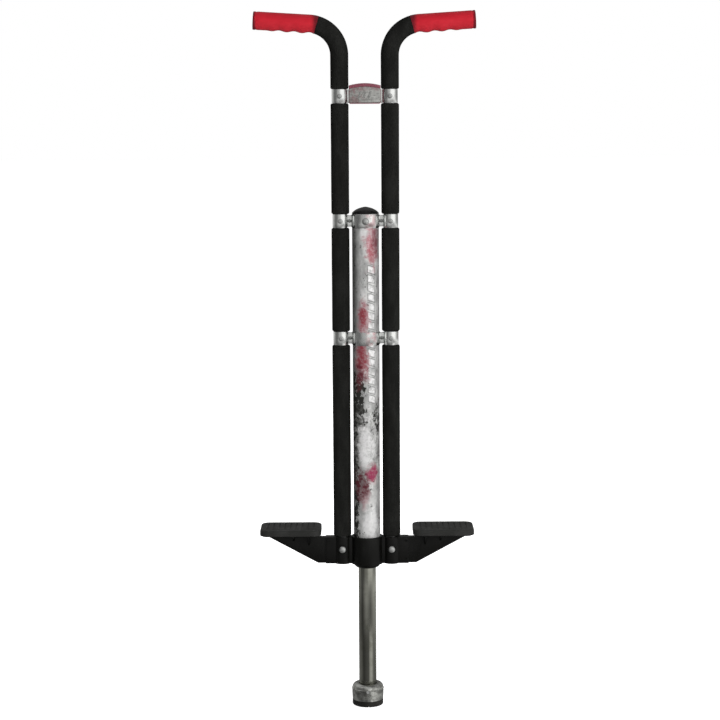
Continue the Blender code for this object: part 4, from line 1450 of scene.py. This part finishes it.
@dataclass
class SpringHousing:
    """The printed tube, its dome cap, and the bolt and nut through the middle clamp."""

    radius: float = 19.05 * MM
    wall: float = 1.4 * MM
    bolt_hole: float = 3.4 * MM
    strap_front: float = 20.55 * MM

    def build(self) -> None:
        """Builds the tube, the cap, the bolt and the nut."""
        ride(self.tube(), Body.FRAME, "housing_tube")
        ride(self.dome(), Body.FRAME, "dome_cap")
        low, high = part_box("cross_bolt")
        height = (low.z + high.z) / 2
        ride(cap_bolt("housing_bolt", 0.0, height, self.strap_front, high.y), Body.FRAME, "cross_bolt")
        ride(hex_nut("housing_nut", 0.0, height, self.strap_front), Body.FRAME, "cross_nut")

    def tube(self) -> bpy.types.Object:
        """The housing tube with its bolt and screw holes."""
        low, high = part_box("housing_tube")
        blank = pipe(self.radius, self.radius - self.wall, low.z, high.z, 96)
        blank.round_edges(0.4 * MM, 3, 60)
        made = blank.piece("spring_housing", FINISH.wrap)
        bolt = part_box("cross_bolt")
        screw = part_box("housing_screw")
        holes = [cylinder(self.bolt_hole, -0.03, 0.03, 32).lay(Face.REAR).shift((0, 0, (bolt[0].z + bolt[1].z) / 2))]
        holes.append(cylinder(2.2 * MM, 0, 0.03, 24).lay(Face.REAR).shift((0, 0, (screw[0].z + screw[1].z) / 2)))
        work(made, Cut.REMOVE, [hole.tool() for hole in holes])
        shade(made)
        return made

    def dome(self) -> bpy.types.Object:
        """The plastic cap: a blunt round cone with a spigot inside the tube."""
        low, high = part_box("dome_cap")
        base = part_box("housing_tube")[1].z + 0.2 * MM
        bore = self.radius - self.wall - 0.2 * MM
        profile = [(0, low.z), (bore, low.z), (bore, base), (self.radius, base), (self.radius, base + 1.0 * MM)]
        rise = high.z - base - 1.0 * MM
        for share in (0.10, 0.2, 0.3, 0.4, 0.5, 0.6, 0.7, 0.8, 0.9):
            angle = share * math.pi / 2
            blunt = 0.55 * math.cos(angle) + 0.45 * (1 - share)
            profile.append((self.radius * blunt, base + 1.0 * MM + rise * (0.65 * math.sin(angle) + 0.35 * share)))
        profile.append((0, high.z))
        blank = Blank().turn(profile, 64)
        return blank.piece("dome", FINISH.dome)


def cap_bolt(name: str, x: float, height: float, seat: float, tip: float) -> bpy.types.Object:
    """A domed bolt that enters from the front.

    Args:
        name: The piece's name.
        x: Its place across.
        height: Its height.
        seat: How far in front of the middle its head sits.
        tip: How far behind the middle it ends.

    Returns:
        The bolt.
    """
    profile = [(0, -tip), (2.4 * MM, -tip), (3 * MM, -tip + 0.6 * MM), (3 * MM, seat), (5 * MM, seat)]
    profile += [(5 * MM, seat + 0.5 * MM)]
    for share in (0.2, 0.4, 0.6, 0.8):
        angle = share * math.pi / 2
        profile.append((5 * MM * math.cos(angle), seat + 0.5 * MM + 2.6 * MM * math.sin(angle)))
    profile.append((0, seat + 3.1 * MM))
    return Blank().turn(profile, 40).lay(Face.FRONT).shift((x, 0, height)).piece(name, FINISH.zinc)


def hex_nut(name: str, x: float, height: float, seat: float) -> bpy.types.Object:
    """A chamfered nut on the rear.

    Args:
        name: The piece's name.
        x: Its place across.
        height: Its height.
        seat: How far behind the middle it sits.

    Returns:
        The nut.
    """
    made = cylinder(5.6 * MM, seat, seat + 5 * MM, 6).lay(Face.REAR).shift((x, 0, height)).piece(name, FINISH.zinc)
    bore = cylinder(3.08 * MM, seat - MM, seat + 6 * MM, 32).lay(Face.REAR).shift((x, 0, height))
    work(made, Cut.REMOVE, [bore.tool()])
    soften(made, 0.35 * MM, 2)
    return made


@dataclass
class Footrest:
    """The moulded footrest with its two treads, bolts and nuts, and the screw at its back."""

    spacing: float = 35.5 * MM
    top: float = 250.8 * MM
    bottom: float = 210.4 * MM
    floor: float = 216 * MM
    collar: float = 23.2 * MM
    nose: float = 18.8 * MM
    nose_bottom: float = 204.8 * MM
    socket: float = 13 * MM
    web_half: float = 8.6 * MM
    arm_half: float = 6.6 * MM
    arm_start: float = 60 * MM
    arm_screw_out: float = 56.5 * MM
    pedal_inner: float = 66 * MM
    pedal_outer: float = 154 * MM
    pedal_half_depth: float = 32 * MM
    pedal_top: float = 264.5 * MM
    skirt_bottom: float = 256.4 * MM
    toe: float = 145 * MM
    heel: float = 71 * MM
    bolt_height: float = 232.8 * MM

    def build(self) -> None:
        """Builds the moulding, the treads and the fasteners."""
        ride(self.moulding(), Body.FRAME, "footrest_hub")
        for side in Side:
            name = side.label
            ride(self.tread(side), Body.FRAME, f"{name}_tread_pad")
            x = side.value * self.spacing
            seat = self.socket + MM
            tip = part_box(f"{name}_foot_bolt")[1].y
            ride(cap_bolt(f"foot_bolt_{name}", x, self.bolt_height, seat, tip), Body.FRAME, f"{name}_foot_bolt")
            ride(hex_nut(f"foot_nut_{name}", x, self.bolt_height, seat), Body.FRAME, f"{name}_foot_nut")
            for level, height in (("upper", 244.5 * MM), ("lower", 218 * MM)):
                ride(self.arm_screw(side, level, height), Body.FRAME)
        ride(self.rear_screw(), Body.FRAME, "housing_screw")

    def slab(self, side: Side, outline: Profile, half: float, rounding: float) -> bpy.types.Object:
        """An upright slab of one arm.

        Args:
            side: Left or right.
            outline: X and Z of its corners, for the right side.
            half: Half of its thickness.
            rounding: Radius of its edges.

        Returns:
            A tool to join.
        """
        blank = Blank()
        blank.plate([(side.value * x, -half, z) for x, z in outline], (0, 2 * half, 0))
        blank.clean().round_edges(rounding, 3, 20)
        return blank.tool()

    def rib(self, side: Side, x: float) -> bpy.types.Object:
        """A rib across the underside of a pedal, deepest at the arm."""
        reach = self.pedal_half_depth - 5.5 * MM
        top = self.skirt_bottom + 2 * MM
        depth = (self.toe - x) * 0.38 + 3 * MM
        outline = [(-reach, top), (-reach, top - 3.5 * MM), (0, top - depth), (reach, top - 3.5 * MM), (reach, top)]
        blank = Blank()
        blank.plate([(side.value * x - 1.3 * MM, y, z) for y, z in outline], (2.6 * MM, 0, 0))
        blank.clean().round_edges(0.5 * MM, 2, 40)
        return blank.tool()

    def pedal_slab(self, side: Side, inset: float, low: float, high: float, corner: float) -> Blank:
        """A slab with the pedal's rounded outline.

        Args:
            side: Left or right.
            inset: How far it lies inside the pedal's edge.
            low: Its lower face.
            high: Its upper face.
            corner: Radius of its corners.

        Returns:
            The blank.
        """
        inner, outer = self.pedal_inner + inset, self.pedal_outer - inset
        half = self.pedal_half_depth - inset
        corners = [(inner, -half), (outer, -half), (outer, half), (inner, half)]
        blank = Blank()
        blank.plate([(side.value * x, y, low) for x, y in corners], (0, 0, high - low))
        blank.clean()
        upright = [e for e in blank.bm.edges if abs(e.verts[0].co.z - e.verts[1].co.z) > MM]
        return blank.bevel(upright, corner, 8)

    def moulding(self) -> bpy.types.Object:
        """Collar, sockets, arms, ribs and platforms in one moulding, then bored."""
        profile = [(0, self.nose_bottom), (self.nose, self.nose_bottom), (self.nose, self.bottom)]
        profile += [(self.collar, self.bottom), (self.collar, self.top), (0, self.top)]
        core = Blank().turn(profile, 72)
        core.round_edges(5.5 * MM, 6, 60, lambda p: p.z < self.nose_bottom + MM)
        core.round_edges(1.0 * MM, 3, 60, lambda p: p.z > self.bottom - MM and p.xy.length > self.collar - MM)
        made = core.piece("footrest", FINISH.hub)
        joins = []
        for side in Side:
            x = side.value * self.spacing
            socket = cylinder(self.socket, self.bottom + 0.4 * MM, self.top - 0.2 * MM, 56)
            socket.round_edges(1.4 * MM, 4, 60).shift((x, 0, 0))
            joins.append(socket.tool())
            boss = cylinder(6.5 * MM, -self.socket - MM, self.socket + MM, 40).round_edges(0.5 * MM, 2, 60)
            joins.append(boss.lay(Face.REAR).shift((x, 0, self.bolt_height)).tool())
            low, high = self.bottom + 0.8 * MM, self.top - 0.8 * MM
            root = [(18 * MM, low), (self.arm_start, low), (self.arm_start, high), (18 * MM, high)]
            joins.append(self.slab(side, root, self.web_half, 1.0 * MM))
            under = self.skirt_bottom + 2 * MM
            arm = [(50 * MM, low + 0.6 * MM), (self.heel, low + 0.6 * MM), (self.toe, self.skirt_bottom - 4.4 * MM)]
            arm += [(self.toe, under), (self.pedal_inner + 3 * MM, under), (self.pedal_inner + 3 * MM, high - 0.6 * MM)]
            arm += [(50 * MM, high - 0.6 * MM)]
            joins.append(self.slab(side, arm, self.arm_half, 0.9 * MM))
            inset = 2.1 * MM
            top = self.pedal_top - 3.3 * MM
            platform = self.pedal_slab(side, inset, top - 6 * MM, top, 10 * MM)
            joins.append(platform.round_edges(0.6 * MM, 2, 60).tool())
            joins += [self.rib(side, reach) for reach in (84 * MM, 106 * MM, 128 * MM)]
        work(made, Cut.ADD, joins)
        cuts = [cylinder(19.35 * MM, self.floor, self.top + 5 * MM, 72).tool()]
        cuts.append(cylinder(13.5 * MM, self.nose_bottom - MM, self.floor + MM, 64).tool())
        for side in Side:
            x = side.value * self.spacing
            cuts.append(cylinder(9.825 * MM, self.floor, self.top + 5 * MM, 48).shift((x, 0, 0)).tool())
            hole = cylinder(3.35 * MM, -2 * self.socket, 2 * self.socket, 32).rotate(0.1, "Z")
            cuts.append(hole.lay(Face.REAR).shift((x, 0, self.bolt_height)).tool())
        work(made, Cut.REMOVE, cuts)
        shade(made, 32)
        return made

    def tread(self, side: Side) -> bpy.types.Object:
        """The rubber cover: a soft-edged slab, hollow beneath, with grooves across its top."""
        blank = self.pedal_slab(side, 0.0, self.skirt_bottom, self.pedal_top, 12 * MM)
        blank.round_edges(2.2 * MM, 5, 60, lambda p: p.z > self.pedal_top - MM)
        made = blank.piece(f"tread_{side.label}", FINISH.tread)
        cuts = [self.pedal_slab(side, 1.8 * MM, self.skirt_bottom - MM, self.pedal_top - 3 * MM, 10.2 * MM).tool()]
        for number in range(9):
            groove = Blank()
            bmesh.ops.create_cube(groove.bm, size=1.0)
            bmesh.ops.scale(groove.bm, verts=groove.bm.verts, vec=(2.6 * MM, 44 * MM, 2.4 * MM))
            groove.round_edges(1.2 * MM, 3, 60, lambda p: p.z < -0.5 * MM)
            x = self.pedal_inner + (11 + 8.25 * number) * MM
            cuts.append(groove.shift((side.value * x, 0, self.pedal_top)).tool())
        work(made, Cut.REMOVE, cuts)
        shade(made, 35)
        return made

    def arm_screw(self, side: Side, level: str, height: float) -> bpy.types.Object:
        """A small sunk screw head where the arm leaves the web."""
        profile = [(0, 7.4 * MM), (2.1 * MM, 7.4 * MM), (2.1 * MM, 8.9 * MM), (1.7 * MM, 9.3 * MM)]
        profile += [(0.8 * MM, 9.3 * MM), (0.6 * MM, 8.6 * MM), (0, 8.6 * MM)]
        blank = Blank().turn(profile, 24).lay(Face.FRONT)
        blank.shift((side.value * self.arm_screw_out, 0, height))
        return blank.piece(f"arm_screw_{side.label}_{level}", FINISH.hub)

    def rear_screw(self) -> bpy.types.Object:
        """The screw through the collar's back."""
        low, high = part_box("housing_screw")
        seat = self.collar
        profile = [(0, low.y), (1.9 * MM, low.y), (1.9 * MM, seat), (3.6 * MM, seat), (3.5 * MM, seat + MM)]
        profile += [(2.6 * MM, seat + 1.9 * MM), (0, high.y)]
        blank = Blank().turn(profile, 32).lay(Face.REAR).shift((0, 0, (low.z + high.z) / 2))
        return blank.piece("collar_screw", FINISH.zinc)


@dataclass
class Plunger:
    """Shaft, ferrule and rubber tip, which slide and turn, with the piston at the shaft's top."""

    shaft_radius: float = 12.7 * MM
    shaft_wall: float = 1.5 * MM
    ferrule_radius: float = 23.3 * MM
    ferrule_bottom: float = 7.6 * MM
    ferrule_top: float = 32 * MM
    tip_radius: float = 22.4 * MM

    def build(self) -> None:
        """Builds the shaft, the ferrule and the tip."""
        ride(self.shaft(), Body.PLUNGER, "plunger_shaft")
        ride(self.ferrule(), Body.PLUNGER, "tip_ferrule")
        ride(self.tip(), Body.PLUNGER, "rubber_tip")

    def shaft(self) -> bpy.types.Object:
        """The plated shaft."""
        low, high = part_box("plunger_shaft")
        blank = pipe(self.shaft_radius, self.shaft_radius - self.shaft_wall, low.z, high.z, 80)
        return blank.round_edges(0.3 * MM, 2, 60).piece("shaft", FINISH.shaft)

    def ferrule(self) -> bpy.types.Object:
        """The cup on the shaft's foot: barrel sides and a rounded shoulder."""
        bottom, top, radius = self.ferrule_bottom, self.ferrule_top, self.ferrule_radius
        profile = [(0, 14 * MM), (20.4 * MM, 14 * MM), (20.4 * MM, bottom), (radius * 0.952, bottom)]
        profile += [(radius * 0.968, bottom + 4 * MM), (radius * 0.982, bottom + 9 * MM)]
        profile += [(radius * 0.988, top - 9.2 * MM), (radius, top - 8.4 * MM), (radius, top - 7.4 * MM)]
        profile += [(radius * 0.975, top - 6.8 * MM)]
        profile += [(radius * 0.95, top), (self.shaft_radius + 0.3 * MM, top)]
        profile += [(self.shaft_radius + 0.3 * MM, 16 * MM), (0, 16 * MM)]
        blank = Blank().turn(profile, 96)
        blank.round_edges(6.2 * MM, 8, 50, lambda p: p.z > top - MM and p.xy.length > radius * 0.9)
        blank.round_edges(0.8 * MM, 3, 50, lambda p: p.z > top - MM and p.xy.length < radius * 0.7)
        blank.round_edges(0.8 * MM, 3, 50, lambda p: p.z < bottom + MM)
        made = blank.piece("ferrule", FINISH.ferrule)
        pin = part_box("ferrule_pin")
        hole = cylinder(2.8 * MM, -0.03, 0.03, 32).rotate(0.1, "Z").lay(Face.REAR)
        work(made, Cut.REMOVE, [hole.shift((0, 0, (pin[0].z + pin[1].z) / 2)).tool()])
        shade(made)
        return made

    def tip(self) -> bpy.types.Object:
        """The rubber tip, with a ring groove and radial grooves in its sole."""
        rim = self.ferrule_bottom - 0.2 * MM
        profile = [(0, 0), (self.tip_radius, 0), (self.tip_radius, rim), (20.1 * MM, rim), (20.1 * MM, 13.7 * MM)]
        blank = Blank().turn([*profile, (0, 13.7 * MM)], 96)
        blank.round_edges(1.6 * MM, 5, 60, lambda p: p.z < MM)
        made = blank.piece("tip", FINISH.tip)
        cuts = [pipe(13.5 * MM, 11.5 * MM, -MM, 1.2 * MM, 64).tool()]
        for number in range(4):
            groove = Blank()
            bmesh.ops.create_cube(groove.bm, size=1.0)
            bmesh.ops.scale(groove.bm, verts=groove.bm.verts, vec=(1.8 * MM, 60 * MM, 2.2 * MM))
            cuts.append(groove.rotate(number * math.pi / 4 + 0.05, "Z").tool())
        work(made, Cut.REMOVE, cuts)
        shade(made)
        return made


@dataclass
class SpringPack:
    """What is inside the housing: the coil spring, and the CAD pieces round it, which only get their finishes."""

    wire: float = 2.5 * MM
    mean_radius: float = 14 * MM
    turns: int = 23
    steps: int = 36
    travel: float = 120 * MM
    kept: tuple[tuple[str, Finish], ...] = (
        ("spring_plug", FINISH.nylon),
        ("guide_bush", FINISH.nylon),
        ("piston", FINISH.nylon),
        ("rebound_bumper", FINISH.bumper),
        ("thrust_washer", FINISH.zinc),
        ("piston_pin", FINISH.zinc),
        ("ferrule_pin", FINISH.zinc),
    )

    def build(self, nodes: dict[str, bpy.types.Object]) -> None:
        """Builds the spring and dresses the kept CAD pieces.

        Args:
            nodes: The CAD nodes by name.
        """
        for name, finish in self.kept:
            nodes[name].data.materials.clear()
            nodes[name].data.materials.append(finish.material())
        spring = ride(self.spring(), Body.FRAME, "main_spring")
        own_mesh(spring)

    def spring(self) -> bpy.types.Object:
        """The coil: a wire section spun upwards turn by turn, close-wound at both ends."""
        low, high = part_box("main_spring")
        blank = Blank()
        bm = blank.bm
        verts = bmesh.ops.create_circle(bm, segments=12, radius=self.wire, cap_ends=True)["verts"]
        bmesh.ops.rotate(bm, verts=verts, cent=(0, 0, 0), matrix=Matrix.Rotation(math.pi / 2, 3, "X"))
        bmesh.ops.translate(bm, verts=verts, vec=(self.mean_radius, 0, low.z + self.wire))
        faces = list(dict.fromkeys(face for vert in verts for face in vert.link_faces))
        closed = 2 * self.wire + 0.2 * MM
        rise = high.z - low.z - 2 * self.wire
        pitch = (rise - 2 * closed) / (self.turns - 2)
        for turn, count in ((closed, 1), (pitch, self.turns - 2), (closed, 1)):
            edges = list(dict.fromkeys(edge for face in faces for edge in face.edges))
            steps = self.steps * count
            grown = bmesh.ops.spin(
                bm,
                geom=faces + edges,
                cent=(0, 0, 0),
                axis=(0, 0, 1),
                dvec=(0, 0, turn / self.steps),
                angle=2 * math.pi * count,
                steps=steps,
                use_merge=False,
            )["geom_last"]
            faces = [g for g in grown if isinstance(g, bmesh.types.BMFace)]
        return blank.piece("coil_spring", FINISH.spring)


@dataclass
class Studio:
    """Camera, pale floor and soft lights. Surfaces mirror the room and not the lamps."""

    focal: float = 97.75
    place: tuple[float, float, float] = (-0.0088, -2.777, 0.866)
    aim: tuple[float, float, float] = (-0.0088, 0.0, 0.507)
    roll: float = math.radians(0.34)
    floor_glow: float = 0.80
    walls: Profile = (
        (0.0, 0.14), (0.10, 0.50), (0.19, 0.55), (0.24, 0.16), (0.37, 0.15), (0.43, 0.40), (0.50, 0.50),
        (0.55, 1.00), (0.67, 1.06), (0.73, 0.60), (0.79, 0.26), (0.90, 0.34), (1.0, 0.14),
    )
    skirting: Profile = (
        (0.0, 0.12), (0.12, 0.28), (0.205, 0.22), (0.262, 0.15), (0.311, 0.08), (0.36, 0.20), (0.42, 0.38),
        (0.462, 0.45), (0.50, 0.42), (0.57, 0.29), (0.604, 0.23), (0.64, 0.28), (0.68, 0.42), (0.738, 0.58),
        (0.80, 0.58), (0.90, 0.50), (1.0, 0.12),
    )
    kerb: Profile = (
        (0.0, 0.12), (0.14, 0.30), (0.24, 0.24), (0.34, 0.08), (0.46, 0.16), (0.54, 0.20), (0.59, 0.80),
        (0.67, 0.95), (0.72, 0.40), (0.80, 0.26), (1.0, 0.12),
    )

    def build(self) -> None:
        """Sets the camera, the floor and the lights."""
        scene = bpy.context.scene
        scene.view_settings.view_transform = "Standard"
        self.camera()
        self.floor()
        self.world()
        self.lamp("key_light", (0.95, -2.55, 1.35), (0, 0, 0.52), 1.5, 80.0)
        self.lamp("left_light", (-2.6, -0.6, 1.3), (0, 0, 0.5), 1.4, 5.0)
        self.lamp("rear_light", (-0.8, 2.7, 1.6), (0, 0, 0.5), 1.6, 45.0)
        self.lamp("right_light", (2.7, 0.5, 1.4), (0, 0, 0.5), 1.4, 24.0)

    def camera(self) -> None:
        """A long lens, a little above the stick's middle, looking slightly down."""
        data = bpy.data.cameras.new("camera")
        data.lens = self.focal
        data.sensor_width = 36.0
        data.clip_end = 60.0
        camera = bpy.data.objects.new("camera", data)
        bpy.context.scene.collection.objects.link(camera)
        look = (Vector(self.aim) - Vector(self.place)).normalized()
        turn = look.to_track_quat("-Z", "Y").to_matrix().to_4x4() @ Matrix.Rotation(-self.roll, 4, "Z")
        camera.matrix_world = Matrix.Translation(self.place) @ turn
        bpy.context.scene.camera = camera

    def floor(self) -> None:
        """A wide white floor just under the tip."""
        blank = Blank()
        bmesh.ops.create_grid(blank.bm, x_segments=1, y_segments=1, size=30.0)
        mesh = bpy.data.meshes.new("floor")
        blank.shift((0, 0, -0.0004)).bm.to_mesh(mesh)
        blank.bm.free()
        floor = bpy.data.objects.new("floor", mesh)
        bpy.context.scene.collection.objects.link(floor)
        material = bpy.data.materials.new("floor_white")
        material.use_nodes = True
        tree = material.node_tree
        shader = tree.nodes["Principled BSDF"]
        shader.inputs["Base Color"].default_value = (0.80, 0.80, 0.80, 1)
        shader.inputs["Roughness"].default_value = 0.9
        shader.inputs["Specular IOR Level"].default_value = 0.1
        shader.inputs["Emission Color"].default_value = (1, 1, 1, 1)
        desk = NodeDesk(tree)
        path = desk.place("ShaderNodeLightPath").outputs
        desk.feed(shader.inputs["Emission Strength"], desk.math("MULTIPLY", path["Is Camera Ray"], self.floor_glow))
        clear = desk.place("ShaderNodeBsdfTransparent")
        both = desk.place("ShaderNodeMixShader", {"Fac": path["Is Glossy Ray"]})
        desk.feed(both.inputs[1], shader.outputs[0])
        desk.feed(both.inputs[2], clear.outputs[0])
        desk.feed(tree.nodes["Material Output"].inputs["Surface"], both.outputs[0])
        mesh.materials.append(material)

    def world(self) -> None:
        """White to the camera. To surfaces, a soft room: bright to the right, a dark wing to the left."""
        world = bpy.data.worlds.new("studio")
        world.use_nodes = True
        bpy.context.scene.world = world
        tree = world.node_tree
        tree.nodes.clear()
        desk = NodeDesk(tree)
        direction = desk.place("ShaderNodeTexCoord").outputs["Generated"]
        angle, up = desk.round_and_height(direction)
        share = desk.math("MULTIPLY_ADD", angle, 0.5 / math.pi, 0.5)
        sky = desk.blend(desk.band(up, 0.35, 0.85), self.stripes(desk, share, self.walls), (0.50, 0.50, 0.50))
        lift = desk.band(up, -0.20, -0.29, 1.5, 0.95)
        low = desk.blend(1.0, lift, self.stripes(desk, share, self.skirting), "MULTIPLY")
        sky = desk.blend(desk.band(up, -0.13, -0.20), sky, low)
        sky = desk.blend(desk.band(up, -0.34, -0.40), sky, self.stripes(desk, share, self.kerb))
        sky = desk.blend(desk.band(up, -0.60, -0.9), sky, (0.20, 0.20, 0.20))
        path = desk.place("ShaderNodeLightPath").outputs
        across = desk.place("ShaderNodeSeparateXYZ", {"Vector": direction}).outputs["X"]
        fill = desk.band(across, -1.0, 1.0, 0.06, 0.46)
        sky = desk.blend(path["Is Diffuse Ray"], sky, desk.vector(fill, fill, fill))
        sky = desk.blend(path["Is Camera Ray"], sky, (1.0, 1.0, 1.0))
        shader = desk.place("ShaderNodeBackground", {"Color": sky, "Strength": 1.0})
        leave = desk.place("ShaderNodeOutputWorld")
        desk.feed(leave.inputs["Surface"], shader.outputs[0])

    def stripes(self, desk: NodeDesk, share: Socket, levels: Profile) -> Socket:
        """Grey levels round the room.

        Args:
            desk: Desk on the world's tree.
            share: Place round the room from behind on the left, from 0 to 1.
            levels: Place and grey level of each stop.

        Returns:
            The colour.
        """
        ramp = desk.place("ShaderNodeValToRGB", {"Fac": share})
        elements = ramp.color_ramp.elements
        while len(elements) < len(levels):
            elements.new(0.5)
        for element, (place, level) in zip(elements, levels):
            element.position = place
            element.color = (level, level, level * 0.985, 1)
        return ramp.outputs[0]

    def lamp(self, name: str, place: Sequence[float], aim: Sequence[float], size: float, power: float) -> None:
        """An area light.

        Args:
            name: Its name.
            place: Where it stands.
            aim: What it points at.
            size: Its width and height.
            power: Its power in watts.
        """
        data = bpy.data.lights.new(name, "AREA")
        data.size = size
        data.energy = power
        light = bpy.data.objects.new(name, data)
        bpy.context.scene.collection.objects.link(light)
        turn = (Vector(aim) - Vector(place)).to_track_quat("-Z", "Y").to_matrix().to_4x4()
        light.matrix_world = Matrix.Translation(place) @ turn
        light.visible_glossy = False


def start_scene() -> dict:
    """Removes the startup objects and loads the CAD frame.
    """
    for old in list(bpy.data.objects):
        bpy.data.objects.remove(old)
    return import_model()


def main() -> None:
    """Builds the stick and its studio."""
    logging.basicConfig(level=logging.INFO, format="%(message)s")
    frame = start_scene()
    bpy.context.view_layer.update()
    for side in Side:
        Handlebar(side).build()
    for level, on_housing in (("top", False), ("middle", True), ("lower", True)):
        Clamp(level, on_housing).build()
    Badge().build()
    SpringHousing().build()
    Footrest().build()
    Plunger().build()
    SpringPack().build(frame["nodes"])
    Studio().build()


if __name__ == "__main__":
    main()
